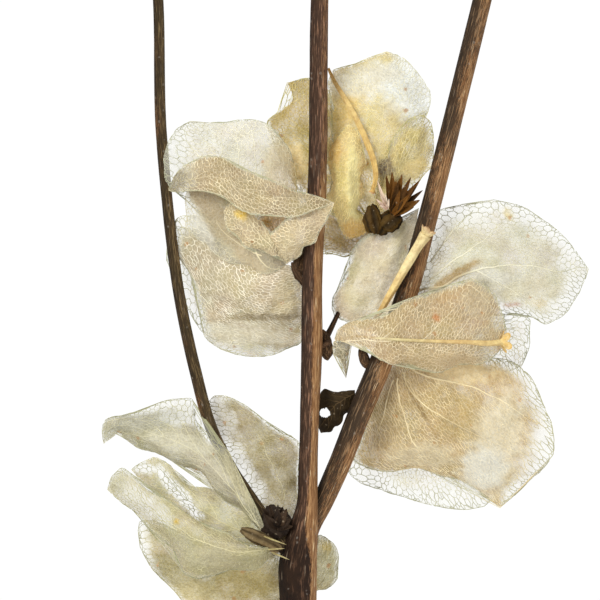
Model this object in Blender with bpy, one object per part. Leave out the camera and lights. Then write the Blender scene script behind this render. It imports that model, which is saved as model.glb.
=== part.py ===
"""A bleached, dried bougainvillea branch with its papery flower heads, lying on a table.

The branch is one piece of wood: a thick foot that forks into three thin stems. Each flower head is
a handful of skeletonised bracts grown together at their hub. Slim dried flower tubes, dark buds and
one crumpled leaf hang on it. +X is across, +Y runs along the stems to their tips and +Z is up.
"""

import math

import bmesh
import bpy
import numpy as np
from mathutils import Matrix, Vector

for old in list(bpy.data.objects):
    bpy.data.objects.remove(old)

# Driving sizes, in metres. Plans are drawn on a sheet of 600 by 600 steps, x to the right and
# y down the sheet, with heights above the table in millimetres.
BRACT_LENGTH = 0.045
BRACT_STEPS = 195
STEP = BRACT_LENGTH / BRACT_STEPS
SHEET_MIDDLE = 300
FOOTPRINT_MIDDLE = (0.0117, 0.0091)
MM = 0.001

BRACT_THICKNESS = 0.6 * MM
RIB_HEIGHT = 0.22 * MM
BRACT_ROWS = 10
BRACT_COLUMNS = 7
NARROW_WIDTH = 5 * MM
FULL_WIDTH = 14 * MM
GAP = 0.3 * MM
STEM_SIDES = 10
TWIG_SIDES = 6
STEM_POINT_EVERY = 9 * MM
TWIG_POINT_EVERY = 4 * MM
FLOWER_POINT_EVERY = 2.5 * MM

# Stems: (x step, y step, height mm, radius mm), from the foot to the tip.
MIDDLE_STEM = (
    (292, 905, 3.95, 4.1),
    (291, 800, 4.3, 4.1),
    (295, 700, 8.0, 4.15),
    (298, 600, 13.4, 4.3),
    (298, 562, 15.8, 4.4),
    (303, 532, 17.6, 3.5),
    (307, 505, 18.3, 2.45),
    (308, 470, 18.8, 2.25),
    (310, 402, 19.0, 2.25),
    (312, 337, 19.0, 2.45),
    (312, 290, 19.0, 2.35),
    (317, 190, 19.0, 2.2),
    (319, 30, 19.5, 2.1),
    (322, -120, 20.0, 1.8),
    (318, -265, 19.0, 1.45),
)
LEFT_STEM = (
    (296, 562, 15.4, 2.4),
    (286, 545, 16.4, 1.9),
    (272, 528, 16.4, 1.6),
    (252, 500, 15.6, 1.45),
    (232, 470, 14.8, 1.4),
    (212, 430, 13.8, 1.4),
    (195, 370, 12.8, 1.4),
    (180, 300, 12.2, 1.35),
    (167, 200, 12.0, 1.32),
    (161, 130, 12.0, 1.3),
    (158, 0, 12.6, 1.25),
    (150, -110, 14.0, 1.15),
    (134, -215, 15.0, 1.0),
)
RIGHT_STEM = (
    (300, 560, 14.4, 3.0),
    (309, 527, 14.6, 2.6),
    (322, 503, 15.0, 2.5),
    (337, 470, 16.0, 2.6),
    (360, 412, 17.5, 2.65),
    (377, 372, 18.4, 2.75),
    (408, 290, 18.8, 2.5),
    (425, 228, 18.9, 2.3),
    (452, 118, 19.2, 2.2),
    (480, 0, 19.6, 2.1),
    (513, -130, 19.6, 1.8),
    (541, -225, 18.6, 1.5),
)
# Flower stalks, which grow out of the stems.
LEFT_STALK = (
    (313, 292, 18.4, 1.0),
    (303, 282, 17.6, 0.8),
    (295, 270, 17.2, 0.8),
    (293, 262, 17.2, 0.5),
)
UPPER_STALK = (
    (314, 356, 17.6, 1.2),
    (327, 336, 15.0, 0.75),
    (337, 316, 12.0, 0.55),
    (351, 285, 8.0, 0.5),
    (365, 250, 7.4, 0.5),
    (374, 237, 9.4, 0.5),
    (382, 228, 13.4, 0.55),
    (388, 221, 16.0, 0.7),
)
RIGHT_STALK = ((383, 355, 18.2, 1.6), (394, 350, 17.6, 1.2), (401, 348, 17.2, 0.8))
LOWER_STALK = ((294, 556, 16.6, 2.0), (284, 549, 16.6, 1.4), (276, 545, 16.6, 0.9))
FRONT_STALK = ((320, 346, 17.0, 1.2), (326, 343, 18.2, 0.8), (330, 342, 19.0, 0.6))
# Bumps of the wood: (place, (length, width, depth) mm, turn in degrees on the table).
NODE_BUMPS = (
    ((364, 360, 18.6), (4.6, 2.4, 2.4), 65),
    ((324, 343, 16.6), (4.2, 1.7, 1.6), 80),
    ((297, 262, 17.4), (4.4, 1.7, 1.5), 75),
    ((288, 532, 17.0), (4.0, 2.2, 1.8), 55),
    ((291, 740, 6.4), (4.2, 4.6, 4.3), 90),
)

# Flower heads: the bracts of a head as rails from base to tip, each rail a list of (x step, y step,
# height mm). A rooted bract's rails all start at the hub. A folded flap starts on another bract.
HUB_SIZES = (3.2, 3.0, 3.0)
LEFT_HUB = (287, 264, 16.6)
LEFT_BRACTS = {
    "back": (
        [(252, 246, 11), (215, 226, 11), (184, 202, 13.5), (165, 178, 15.6), (163, 156, 15.4),
         (170, 136, 14), (190, 121, 11)],
        [(270, 225, 15), (240, 180, 17), (212, 148, 15), (190, 121, 11)],
        [(297, 232, 14), (296, 195, 13), (296, 158, 12.6), (279, 136, 12.5), (260, 118, 11.5),
         (222, 123, 10), (190, 121, 11)],
    ),
    "lip": (
        [(270, 244, 20.6), (273, 230, 24), (288, 216, 26), (312, 207, 26.4), (334, 203, 25)],
        [(288, 246, 24), (308, 224, 26.4), (334, 203, 25)],
        [(299, 256, 20), (309, 246, 22.4), (323, 229, 24.4), (334, 203, 25)],
    ),
    "middle": (
        [(270, 230, 21.6), (240, 204, 21.4), (206, 187, 20.4), (172, 190, 17)],
        [(262, 240, 23), (232, 222, 24), (200, 206, 21), (172, 190, 17)],
        [(262, 253, 20.4), (240, 248, 20.6), (212, 236, 18.6), (184, 222, 16.2), (171, 206, 16),
         (172, 190, 17)],
    ),
    "front": (
        [(245, 250, 14.4), (200, 230, 12.4), (172, 221, 10.4), (176, 246, 9.6), (184, 270, 8.8),
         (193, 292, 8), (201, 317, 7), (203, 335, 5), (215, 348, 3.2), (232, 354, 2.2),
         (252, 357, 1.6)],
        [(262, 278, 19), (240, 296, 17.6), (232, 313, 13), (238, 326, 9.6), (252, 357, 1.6)],
        [(296, 288, 14.4), (301, 314, 11), (301, 338, 5.6), (283, 352, 2.8), (252, 357, 1.6)],
    ),
    "under": (
        [(240, 252, 9), (190, 238, 6.4), (164, 243, 5.4), (167, 262, 4.6), (179, 292, 3.6),
         (188, 313, 2.6), (205, 335, 1.2), (236, 345, 0.3)],
        [(262, 282, 11), (238, 304, 7), (228, 326, 3), (236, 345, 0.3)],
        [(294, 288, 10), (297, 312, 5.4), (282, 334, 2), (236, 345, 0.3)],
    ),
}
LEFT_FLAPS = {
    "flap": (
        [(168, 190, 13), (180, 170, 18), (190, 160, 20), (219, 157, 22), (245, 167, 24),
         (268, 180, 25), (292, 189, 26), (313, 195, 26), (334, 203, 25)],
        [(168, 190, 13), (184, 182, 21), (215, 178, 26), (250, 193, 28), (288, 203, 29),
         (334, 203, 25)],
        [(168, 190, 13), (182, 193, 19), (201, 189, 23), (219, 197, 25.6), (240, 210, 26.8),
         (266, 217, 27.4), (290, 218, 27.6), (313, 211, 27.4), (334, 203, 25)],
    ),
}

UPPER_HUB = (373, 224, 10.2)
UPPER_BRACTS = {
    "top": (
        [(350, 190, 11), (332, 140, 12), (329, 100, 11.4), (330, 74, 11), (352, 62, 10),
         (369, 57, 9), (387, 51, 8.4)],
        [(376, 190, 14), (378, 140, 15.4), (384, 90, 13.4), (387, 51, 8.4)],
        [(394, 190, 11), (408, 150, 11.4), (416, 122, 11.6), (429, 106, 11), (433, 93, 10.6),
         (424, 79, 10), (412, 65, 9.4), (398, 54, 8.8), (387, 51, 8.4)],
    ),
    "right": (
        [(376, 186, 13), (392, 140, 15.4), (410, 118, 15), (424, 115, 14), (434, 140, 13)],
        [(388, 190, 14.6), (405, 162, 16), (420, 150, 15), (434, 140, 13)],
        [(398, 205, 12), (412, 188, 12.6), (424, 178, 12.6), (433, 162, 12.6), (434, 140, 13)],
    ),
    "left": (
        [(330, 214, 7.6), (305, 200, 7), (291, 180, 6.6), (276, 146, 6.4), (267, 121, 6.4),
         (280, 106, 7), (287, 82, 8)],
        [(340, 196, 9.6), (316, 150, 10), (302, 112, 9), (287, 82, 8)],
        [(352, 190, 9), (342, 140, 9.6), (334, 98, 10), (312, 78, 9), (287, 82, 8)],
    ),
    "fold": (
        [(352, 236, 10), (338, 230, 10.4), (330, 208, 11.6), (329, 170, 13.4), (333, 142, 14.4),
         (348, 124, 15)],
        [(352, 214, 15), (347, 190, 19), (348, 152, 20), (348, 124, 15)],
        [(360, 210, 13), (363, 184, 15.6), (364, 158, 17), (361, 138, 17), (348, 124, 15)],
    ),
    "low": (
        [(352, 235, 9), (332, 236, 7.4), (314, 246, 5)],
        [(352, 243, 8), (334, 246, 6.6), (314, 246, 5)],
        [(356, 252, 6), (334, 256, 5), (314, 246, 5)],
    ),
}

RIGHT_HUB = (407, 346, 17.2)
RIGHT_BRACTS = {
    "left": (
        [(378, 330, 12.6), (350, 322, 12), (333, 316, 11.4), (332, 304, 11), (338, 288, 11),
         (346, 268, 11.4), (349, 250, 12), (360, 241, 12.6), (389, 233, 13), (403, 221, 12.6),
         (419, 208, 12.4)],
        [(384, 310, 13.4), (374, 278, 14.2), (390, 248, 14), (419, 208, 12.4)],
        [(406, 310, 12.6), (408, 275, 12.4), (414, 240, 12.4), (419, 208, 12.4)],
    ),
    "upper": (
        [(410, 300, 13), (422, 250, 12.6), (442, 205, 12.2), (470, 203, 11.6), (500, 201, 11),
         (521, 205, 10.6), (540, 215, 10), (567, 240, 9.4), (581, 257, 9), (589, 269, 8.4)],
        [(424, 304, 16), (448, 282, 18), (476, 269, 18.6), (508, 265, 17), (542, 267, 14),
         (589, 269, 8.4)],
        [(448, 322, 12.4), (480, 308, 11.4), (514, 312, 10), (531, 319, 9), (545, 326, 8),
         (557, 321, 7.8), (569, 309, 7.8), (580, 295, 8), (589, 269, 8.4)],
    ),
    "lower": (
        [(388, 390, 12), (371, 430, 9), (355, 460, 6.6), (384, 470, 5), (424, 474, 4.4),
         (464, 481, 4), (486, 497, 2.8), (501, 509, 2)],
        [(426, 395, 17.4), (456, 435, 15), (484, 474, 8.4), (501, 509, 2)],
        [(440, 358, 15.4), (484, 356, 14.6), (521, 366, 12.6), (536, 385, 11.6), (550, 413, 10),
         (556, 440, 8.4), (544, 470, 6), (531, 484, 4.4), (514, 498, 3), (501, 509, 2)],
    ),
    "under": (
        [(376, 420, 5.4), (345, 464, 3), (350, 477, 1.8), (384, 491, 1), (418, 503, 0.4),
         (446, 509, 0.3)],
        [(412, 420, 8.6), (430, 466, 4.4), (446, 509, 0.3)],
        [(462, 405, 7), (500, 450, 4), (506, 488, 2), (486, 507, 0.8), (446, 509, 0.3)],
    ),
    "scrap": (
        [(446, 322, 14.6), (488, 314, 13.4), (514, 315, 12.4), (531, 320, 11.2), (531, 340, 11.2),
         (522, 366, 11.6)],
        [(456, 344, 15.2), (500, 341, 14), (517, 350, 12.4), (522, 366, 11.6)],
        [(446, 364, 13.6), (484, 372, 12.4), (508, 372, 11.8), (522, 366, 11.6)],
    ),
}

FRONT_HUB = (334, 341, 19.4)
FRONT_HUB_SIZES = (2.4, 2.2, 2.2)
FRONT_BRACTS = {
    "front": (
        [(342, 325, 22.6), (358, 319, 24), (377, 316, 25), (392, 310, 25.4), (407, 300, 25.4),
         (426, 294, 24.6), (446, 284, 22.6), (476, 281, 20.6), (492, 290, 19.6), (505, 322, 19),
         (507, 342, 19.4)],
        [(360, 334, 25), (390, 340, 27.6), (434, 341, 27), (468, 342, 25), (507, 342, 19.4)],
        [(345, 345, 22), (362, 350, 24.4), (377, 358, 25), (394, 365, 25), (410, 368, 23.6),
         (430, 370, 21.4), (458, 368, 19.4), (486, 361, 18.4), (507, 342, 19.4)],
    ),
    "tail": (
        [(334, 354, 18), (339, 364, 17), (346, 378, 14.6)],
        [(344, 351, 18.8), (346, 363, 17.6), (346, 378, 14.6)],
        [(357, 347, 18.6), (353, 360, 17.6), (346, 378, 14.6)],
    ),
}

LOWER_HUB = (271, 543, 16.6)
LOWER_BRACTS = {
    "back_left": (
        [(258, 511, 19.6), (243, 480, 20.4), (233, 457, 19.6), (226, 442, 18.6), (208, 433, 16.4),
         (199, 416, 14), (196, 400, 12.4), (173, 401, 11), (153, 408, 10.6), (135, 412, 11),
         (118, 415, 11.4), (105, 419, 10), (102, 432, 8.4), (103, 444, 7)],
        [(242, 503, 20), (216, 470, 19.6), (184, 444, 17), (152, 432, 15), (126, 425, 13),
         (110, 428, 10.6), (103, 444, 7)],
        [(242, 512, 15.4), (226, 497, 13), (208, 484, 12), (188, 473, 11), (163, 461, 10),
         (143, 452, 9.4), (130, 443, 9), (120, 433, 8.8), (110, 439, 7.6), (103, 444, 7)],
    ),
    "back": (
        [(258, 500, 11), (238, 465, 9), (216, 432, 8), (207, 410, 8), (214, 396, 8.4)],
        [(282, 490, 12.6), (262, 450, 12.4), (238, 420, 11), (214, 396, 8.4)],
        [(298, 512, 11.6), (300, 472, 12), (298, 441, 11.6), (277, 428, 10.6), (256, 415, 10),
         (241, 403, 9.4), (228, 396, 9), (214, 396, 8.4)],
    ),
    "front": (
        [(262, 538, 20.6), (246, 535, 22), (217, 524, 21.6), (186, 510, 19.6), (156, 493, 17),
         (138, 480, 14.6), (122, 468, 12), (110, 478, 10.6), (107, 490, 9)],
        [(262, 550, 22.4), (244, 552, 24.6), (215, 548, 24), (180, 530, 21), (145, 505, 16),
         (107, 490, 9)],
        [(266, 562, 17.4), (236, 571, 16.4), (214, 577, 15), (195, 577, 14), (182, 571, 13),
         (169, 551, 12), (155, 533, 11), (137, 517, 10), (119, 502, 9.4), (107, 490, 9)],
    ),
    "middle": (
        [(256, 514, 14.4), (233, 499, 14), (208, 488, 13), (188, 477, 12), (164, 461, 10.6),
         (154, 457, 10), (143, 461, 9), (131, 470, 7.6)],
        [(228, 524, 16.4), (186, 498, 14.6), (156, 478, 11), (131, 470, 7.6)],
        [(240, 546, 13), (200, 530, 10.4), (160, 500, 8), (131, 470, 7.6)],
    ),
    "low": (
        [(240, 548, 13), (186, 535, 7.6), (152, 521, 6.2), (137, 523, 6), (136, 536, 5.4),
         (141, 552, 4.8), (151, 568, 4), (165, 585, 3), (181, 602, 2), (204, 628, 0.3)],
        [(266, 563, 12), (252, 590, 7.4), (228, 611, 3), (204, 628, 0.3)],
        [(277, 548, 9.4), (298, 540, 7.4), (324, 537, 7.6), (341, 558, 7.8), (336, 583, 6.8),
         (306, 592, 5.6), (278, 610, 3), (244, 625, 1.2), (204, 628, 0.3)],
    ),
}
# Heads at the stem tips: hub, direction on the table in degrees from +X, bract length mm and the
# first bract's turn round the stem in degrees.
TIP_HEADS = {
    "left_tip_head": ((132.7, -221, 15.0), 100, 36, 80),
    "middle_tip_head": ((317.3, -271, 19.0), 88, 39, 105),
    "right_tip_head": ((542.8, -231, 18.6), 66, 37, 70),
}
TIP_BRACT_COUNT = 3
TIP_BRACT_ROWS = 8
TIP_BRACT_ASPECT = 0.82
TIP_OPENING = math.radians(42)
TIP_CUP = 0.34
TIP_SAG = 1.5

# Ruffle of the bract margins.
RUFFLE_HEIGHT = 0.9 * MM
RUFFLE_WAVES = 3.5

# Dried flowers: path of (x step, y step, radius mm) laid on a bract, or with a height.
UPPER_FLOWER = (
    (330, 72, 0.5),
    (336, 85, 0.6),
    (347, 103, 0.68),
    (359, 125, 0.72),
    (367, 142, 0.72),
    (375, 162, 0.7),
    (377, 176, 0.66),
    (373, 191, 0.5),
)
RIGHT_FLOWER = (
    (374, 321, 22.3, 0.6),
    (379, 313, 22.4, 0.7),
    (388, 298, 22.6, 0.85),
    (400, 277, 22.7, 0.95),
    (412, 257, 22.8, 1.1),
    (421, 242, 22.8, 1.15),
    (427, 233, 23.0, 1.5),
    (429, 230, 23.0, 1.2),
)
RIDGE_FLOWER = (
    (356, 336, 0.6),
    (390, 340, 0.9),
    (434, 341, 1.0),
    (468, 342, 1.0),
    (492, 343, 1.2),
    (505, 342, 1.3),
)

DRIED_LEAF = (
    [(352, 391, 15.4), (338, 390, 15), (326, 390, 13.6), (321, 404, 13), (324, 418, 12.4),
     (326, 431, 12)],
    [(352, 393, 15.4), (340, 402, 17), (331, 412, 14.6), (328, 424, 14.4), (326, 431, 12)],
    [(353, 396, 15.4), (351, 408, 14.6), (344, 420, 14), (337, 427, 13), (326, 431, 12)],
)
LEAF_CRUMPLE = 0.9 * MM

# Dark buds and calyxes: (place, (length, width, depth) mm, turn in degrees on the table).
UPPER_BUDS = (
    ((374, 214, 16.4), (4.6, 1.9, 1.6), 100),
    ((391, 218, 16.0), (3.4, 2.4, 1.7), 25),
    ((384, 224, 15.4), (3.2, 2.6, 1.8), 10),
)
UPPER_SPIKES = (
    (392, 171, 18),
    (402, 173, 20),
    (411, 175, 18.6),
    (420, 181, 17.6),
    (422, 191, 16.6),
    (419, 202, 18),
    (404, 188, 21),
)
UPPER_SPIKES_BASE = (393, 214, 16.4)
SPIKE_RADIUS = 1.05 * MM
SEED_POD = ((251, 536.5, 17.6), (6.2, 1.9, 1.0), 155)
LOWER_SPIKES = (
    (262, 505, 21.6),
    (268, 503, 23.4),
    (276, 508, 24.2),
    (283, 514, 24),
    (288, 523, 23),
    (264, 514, 23),
)
LOWER_SPIKES_BASE = (277, 527, 19.4)
LOWER_LUMP = (LOWER_SPIKES_BASE, (4.0, 3.0, 2.4), 120)

WOOD = (0.150, 0.085, 0.050)
IVORY = (0.800, 0.740, 0.600)
YELLOW = (0.780, 0.640, 0.350)
CREAM = (0.800, 0.640, 0.360)
DARK_BROWN = (0.085, 0.055, 0.035)
LEAF_BROWN = (0.060, 0.045, 0.028)


def place(x_step, y_step, height):
    """A point of the plan as a point in metres."""
    return Vector((
        (x_step - SHEET_MIDDLE) * STEP - FOOTPRINT_MIDDLE[0],
        (SHEET_MIDDLE - y_step) * STEP - FOOTPRINT_MIDDLE[1],
        height * MM,
    ))


def smooth_line(points, count, even=True):
    """count points on a smooth curve through the given ones, of any dimension."""
    points = np.asarray(points, float)
    if len(points) == 2:
        share = np.linspace(0, 1, count)[:, None]
        return points[0] * (1 - share) + points[1] * share
    if even:
        lengths = np.linalg.norm(np.diff(points[:, :3], axis=0), axis=1)
    else:
        lengths = np.ones(len(points) - 1)
    knots = np.concatenate([[0], np.cumsum(lengths)])
    slopes = np.diff(points, axis=0) / lengths[:, None]
    tangents = np.empty_like(points)
    before, after = lengths[:-1, None], lengths[1:, None]
    tangents[1:-1] = (slopes[:-1] * after + slopes[1:] * before) / (before + after)
    tangents[0] = 1.5 * slopes[0] - 0.5 * tangents[1]
    tangents[-1] = 1.5 * slopes[-1] - 0.5 * tangents[-2]

    def at(where):
        span = np.clip(np.searchsorted(knots, where, side="right") - 1, 0, len(lengths) - 1)
        size = lengths[span][:, None]
        t = ((where - knots[span]) / lengths[span])[:, None]
        return (
            (2 * t**3 - 3 * t**2 + 1) * points[span]
            + (t**3 - 2 * t**2 + t) * size * tangents[span]
            + (3 * t**2 - 2 * t**3) * points[span + 1]
            + (t**3 - t**2) * size * tangents[span + 1]
        )

    if not even:
        return at(np.linspace(0, knots[-1], count))
    fine = np.linspace(0, knots[-1], 400)
    walked = np.linalg.norm(np.diff(at(fine)[:, :3], axis=0), axis=1)
    walked = np.concatenate([[0], np.cumsum(walked)])
    return at(np.interp(np.linspace(0, walked[-1], count), walked, fine))


def surface_grid(rails, rows, columns):
    """Points of a bract's middle surface, rows along it by columns across it."""
    lines = [smooth_line([place(*point) for point in rail], rows) for rail in rails]
    return np.array([smooth_line(row, columns, even=False) for row in zip(*lines)])


def grid_normals(grid):
    """Unit normals of a grid of points, turned to look up on the whole."""
    along = np.gradient(grid, axis=0)
    across = np.gradient(grid, axis=1)
    normals = np.cross(across, along)
    for row, inner in ((0, 1), (-1, -2)):
        if np.ptp(grid[row], axis=0).max() < 0.02 * MM:
            normals[row] = normals[inner].mean(axis=0)
    normals /= np.maximum(np.linalg.norm(normals, axis=2, keepdims=True), 1e-12)
    widths = np.linalg.norm(np.diff(grid, axis=1), axis=2).sum(axis=1)
    own = np.clip(widths / NARROW_WIDTH, 0, 1)[:, None, None]
    normals = own * normals + (1 - own) * normals.mean(axis=1, keepdims=True)
    normals /= np.linalg.norm(normals, axis=2, keepdims=True)
    return normals if normals[..., 2].sum() > 0 else -normals


def breadth(grid):
    """How broad a bract is, from 0 for a thread to 1 for a full one."""
    widths = np.linalg.norm(np.diff(grid, axis=1), axis=2).sum(axis=1)
    return min(1, widths.max() / FULL_WIDTH)


def ruffled(grid, phase, height=RUFFLE_HEIGHT):
    """The grid with wavy margins and a lightly dented middle."""
    rows, columns = grid.shape[:2]
    along = np.linspace(0, 1, rows)[:, None]
    across = np.linspace(-1, 1, columns)[None, :]
    body = np.sin(math.pi * along)
    waves = across**2 * np.sin(2 * math.pi * RUFFLE_WAVES * along + phase + 1.3 * across)
    dents = 0.35 * (1 - across**2) * np.sin(9.0 * along + 4.0 * across + 2.1 * phase)
    lift = height * breadth(grid) * body * (waves + dents)
    moved = grid + lift[..., None] * grid_normals(grid)
    moved[..., 2] = np.maximum(moved[..., 2], BRACT_THICKNESS / 2)
    return moved


def sheet_mesh(grid):
    """A closed thin mesh round a grid: ribs along alternate columns, both faces split alike."""
    rows, columns = grid.shape[:2]
    normals = grid_normals(grid)
    half = np.full((rows, columns), BRACT_THICKNESS / 2)
    along = np.sin(math.pi * np.linspace(0, 1, rows))[:, None]
    half[:, 1:-1:2] += RIB_HEIGHT * breadth(grid) ** 2 * along
    offset = normals * half[..., None]
    points = np.concatenate([(grid + offset).reshape(-1, 3), (grid - offset).reshape(-1, 3)])
    points[:, 2] = np.maximum(points[:, 2], 0)
    under = rows * columns

    def index(row, column):
        return row * columns + column

    faces = []
    for row in range(rows - 1):
        for column in range(columns - 1):
            corners = [index(row, column), index(row, column + 1),
                       index(row + 1, column + 1), index(row + 1, column)]
            turn = (row + column) % 2
            first = [corners[turn], corners[turn + 1], corners[(turn + 2) % 4]]
            second = [corners[turn], corners[(turn + 2) % 4], corners[(turn + 3) % 4]]
            for face in (first, second):
                faces.append(face)
                faces.append([under + corner for corner in reversed(face)])
    rim = (
        [index(0, column) for column in range(columns)]
        + [index(row, columns - 1) for row in range(1, rows)]
        + [index(rows - 1, column) for column in range(columns - 2, -1, -1)]
        + [index(row, 0) for row in range(rows - 2, 0, -1)]
    )
    for near, far in zip(rim, rim[1:] + rim[:1]):
        faces.append([far, near, under + near])
        faces.append([far, under + near, under + far])
    return points, faces


def add_sheet(mesh, grid):
    """Puts a sheet's points and faces into a bmesh."""
    points, faces = sheet_mesh(grid)
    corners = [mesh.verts.new(point) for point in points]
    for face in faces:
        mesh.faces.new([corners[corner] for corner in face])
    bmesh.ops.remove_doubles(mesh, verts=mesh.verts, dist=0.002 * MM)
    bmesh.ops.dissolve_degenerate(mesh, edges=mesh.edges, dist=0.001 * MM)


def add_tube(mesh, path, every, sides, grow=0.0):
    """A tube of changing radius along a smooth path of (point, radius) in metres."""
    path = np.array(path, float)
    length = np.linalg.norm(np.diff(path[:, :3], axis=0), axis=1).sum()
    line = smooth_line(path, max(3, round(length / every) + 1))
    middles = line[:, :3]
    directions = np.gradient(middles, axis=0)
    directions /= np.linalg.norm(directions, axis=1, keepdims=True)
    middles[0] -= grow * directions[0]
    middles[-1] += grow * directions[-1]
    side = Vector((0, 0, 1)).cross(Vector(directions[0])).normalized()
    rings = []
    for point, direction, radius in zip(middles, directions, line[:, 3]):
        forward = Vector(direction).normalized()
        side = (side - forward * side.dot(forward)).normalized()
        up = forward.cross(side)
        ring = []
        for corner in range(sides):
            turn = 2 * math.pi * (corner + 0.5) / sides
            spoke = math.cos(turn) * side + math.sin(turn) * up
            ring.append(mesh.verts.new(Vector(point) + spoke * float(radius + grow)))
        rings.append(ring)
    for ring, following in zip(rings, rings[1:]):
        for corner in range(sides):
            beside = (corner + 1) % sides
            mesh.faces.new((ring[corner], ring[beside], following[beside], following[corner]))
    mesh.faces.new(list(reversed(rings[0])))
    mesh.faces.new(rings[-1])


def add_blob(mesh, centre, sizes, turn, grow=0.0, detail=1):
    """A rounded lump, sizes being its length, width and depth."""
    half = [size * MM / 2 + grow for size in sizes]
    matrix = (
        Matrix.Translation(centre)
        @ Matrix.Rotation(math.radians(turn), 4, "Z")
        @ Matrix.Diagonal((*half, 1))
    )
    bmesh.ops.create_icosphere(mesh, subdivisions=detail, radius=1, matrix=matrix)


def add_spike(mesh, base, tip, radius, sides=5):
    """A narrow pointed sepal from a base to a tip."""
    direction = tip - base
    matrix = (
        Matrix.Translation((base + tip) / 2)
        @ direction.to_track_quat("Z", "Y").to_matrix().to_4x4()
    )
    bmesh.ops.create_cone(
        mesh, cap_ends=True, segments=sides, radius1=radius, radius2=0.12 * radius,
        depth=direction.length, matrix=matrix)


def material(name, colour, roughness):
    """A plain finish."""
    made = bpy.data.materials.new(name)
    made.use_nodes = True
    shader = made.node_tree.nodes["Principled BSDF"]
    shader.inputs["Base Color"].default_value = (*colour, 1)
    shader.inputs["Roughness"].default_value = roughness
    shader.inputs["Metallic"].default_value = 0
    return made


def mesh_object(name, build):
    """An object whose mesh the given function fills in."""
    mesh = bmesh.new()
    build(mesh)
    bmesh.ops.recalc_face_normals(mesh, faces=mesh.faces)
    data = bpy.data.meshes.new(name)
    mesh.to_mesh(data)
    mesh.free()
    obj = bpy.data.objects.new(name, data)
    bpy.context.scene.collection.objects.link(obj)
    return obj


def applied(obj):
    """Makes an object's modifiers permanent."""
    bpy.context.view_layer.update()
    graph = bpy.context.evaluated_depsgraph_get()
    data = bpy.data.meshes.new_from_object(obj.evaluated_get(graph))
    obj.modifiers.clear()
    obj.data = data


def keep_largest_body(obj):
    """Drops loose scraps and fills sealed pockets by keeping the outermost body alone."""
    mesh = bmesh.new()
    mesh.from_mesh(obj.data)
    unseen = set(mesh.verts)
    bodies = []
    while unseen:
        body, edge_of_search = set(), [unseen.pop()]
        while edge_of_search:
            vertex = edge_of_search.pop()
            body.add(vertex)
            for edge in vertex.link_edges:
                other = edge.other_vert(vertex)
                if other in unseen:
                    unseen.discard(other)
                    edge_of_search.append(other)
        bodies.append(body)
    largest = max(bodies, key=len)
    bmesh.ops.delete(mesh, geom=[v for v in mesh.verts if v not in largest], context="VERTS")
    mesh.to_mesh(obj.data)
    mesh.free()


def fused(name, builders, finish, clear_of=None):
    """One body from several overlapping closed pieces, cut clear of another object."""
    first, *others = [mesh_object(f"{name}_piece", build) for build in builders]
    first.name = name
    if others:
        helpers = bpy.data.collections.new(f"{name}_pieces")
        bpy.context.scene.collection.children.link(helpers)
        for other in others:
            bpy.context.scene.collection.objects.unlink(other)
            helpers.objects.link(other)
        union = first.modifiers.new("Union", "BOOLEAN")
        union.operation = "UNION"
        union.operand_type = "COLLECTION"
        union.collection = helpers
        union.use_self = True
        applied(first)
        for other in others:
            bpy.data.objects.remove(other)
        bpy.data.collections.remove(helpers)
    if clear_of is not None:
        cut = first.modifiers.new("Clear", "BOOLEAN")
        cut.operation = "DIFFERENCE"
        cut.object = clear_of
        applied(first)
    keep_largest_body(first)
    first.data.name = name
    first.data.materials.clear()
    first.data.materials.append(finish)
    first.data.shade_smooth()
    first.data.set_sharp_from_angle(angle=math.radians(40))
    return first


def plan_path(points):
    """A path of plan points with radii, in metres."""
    return [(*place(*point[:3]), point[3] * MM) for point in points]


def branch_builders(grow=0.0):
    """The pieces of the wood: stems, stalks and bumps, each a closed shape."""
    def stem(points):
        return lambda mesh: add_tube(mesh, plan_path(points), STEM_POINT_EVERY, STEM_SIDES, grow)

    def stalk(points):
        return lambda mesh: add_tube(mesh, plan_path(points), TWIG_POINT_EVERY, TWIG_SIDES, grow)

    def bump(at, sizes, turn):
        return lambda mesh: add_blob(mesh, place(*at), sizes, turn, grow)

    stems = [stem(points) for points in (MIDDLE_STEM, LEFT_STEM, RIGHT_STEM)]
    stalks = [
        stalk(points)
        for points in (LEFT_STALK, UPPER_STALK, RIGHT_STALK, LOWER_STALK, FRONT_STALK)
    ]
    return stems + stalks + [bump(*row) for row in NODE_BUMPS]


def blob_builder(at, sizes, turn):
    """A lump at a place of the plan."""
    return lambda mesh: add_blob(mesh, place(*at), sizes, turn, detail=2)


def calyx_builders(lumps, base, spikes):
    """Dark lumps with narrow sepals standing out of them."""
    def sepal(tip):
        return lambda mesh: add_spike(mesh, place(*base), place(*tip), SPIKE_RADIUS)

    return [blob_builder(*lump) for lump in lumps] + [sepal(tip) for tip in spikes]


def table_cutter():
    """A block under the table's surface."""
    def block(mesh):
        size = Matrix.Diagonal((1, 1, 0.02, 1))
        bmesh.ops.create_cube(mesh, size=1, matrix=Matrix.Translation((0, 0, -0.01)) @ size)

    return mesh_object("table", block)


def make_branch(finish):
    """The forked wood, its underside flattened where it meets the table."""
    table = table_cutter()
    branch = fused("branch", branch_builders(), finish, clear_of=table)
    bpy.data.objects.remove(table)
    return branch


def head_builders(hub, bracts, flaps=None, hub_sizes=HUB_SIZES):
    """The closed sheets of a head and the hub that they grow from."""
    def sheet(rails, phase):
        grid = ruffled(surface_grid(rails, BRACT_ROWS, BRACT_COLUMNS), phase)
        return lambda mesh: add_sheet(mesh, grid)

    builders = [lambda mesh: add_blob(mesh, place(*hub), hub_sizes, 0)]
    for number, rails in enumerate(bracts.values()):
        builders.append(sheet([[hub, *rail] for rail in rails], 1.7 * number))
    for number, rails in enumerate((flaps or {}).values()):
        builders.append(sheet(rails, 1.1 * number + 0.6))
    return builders


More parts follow.
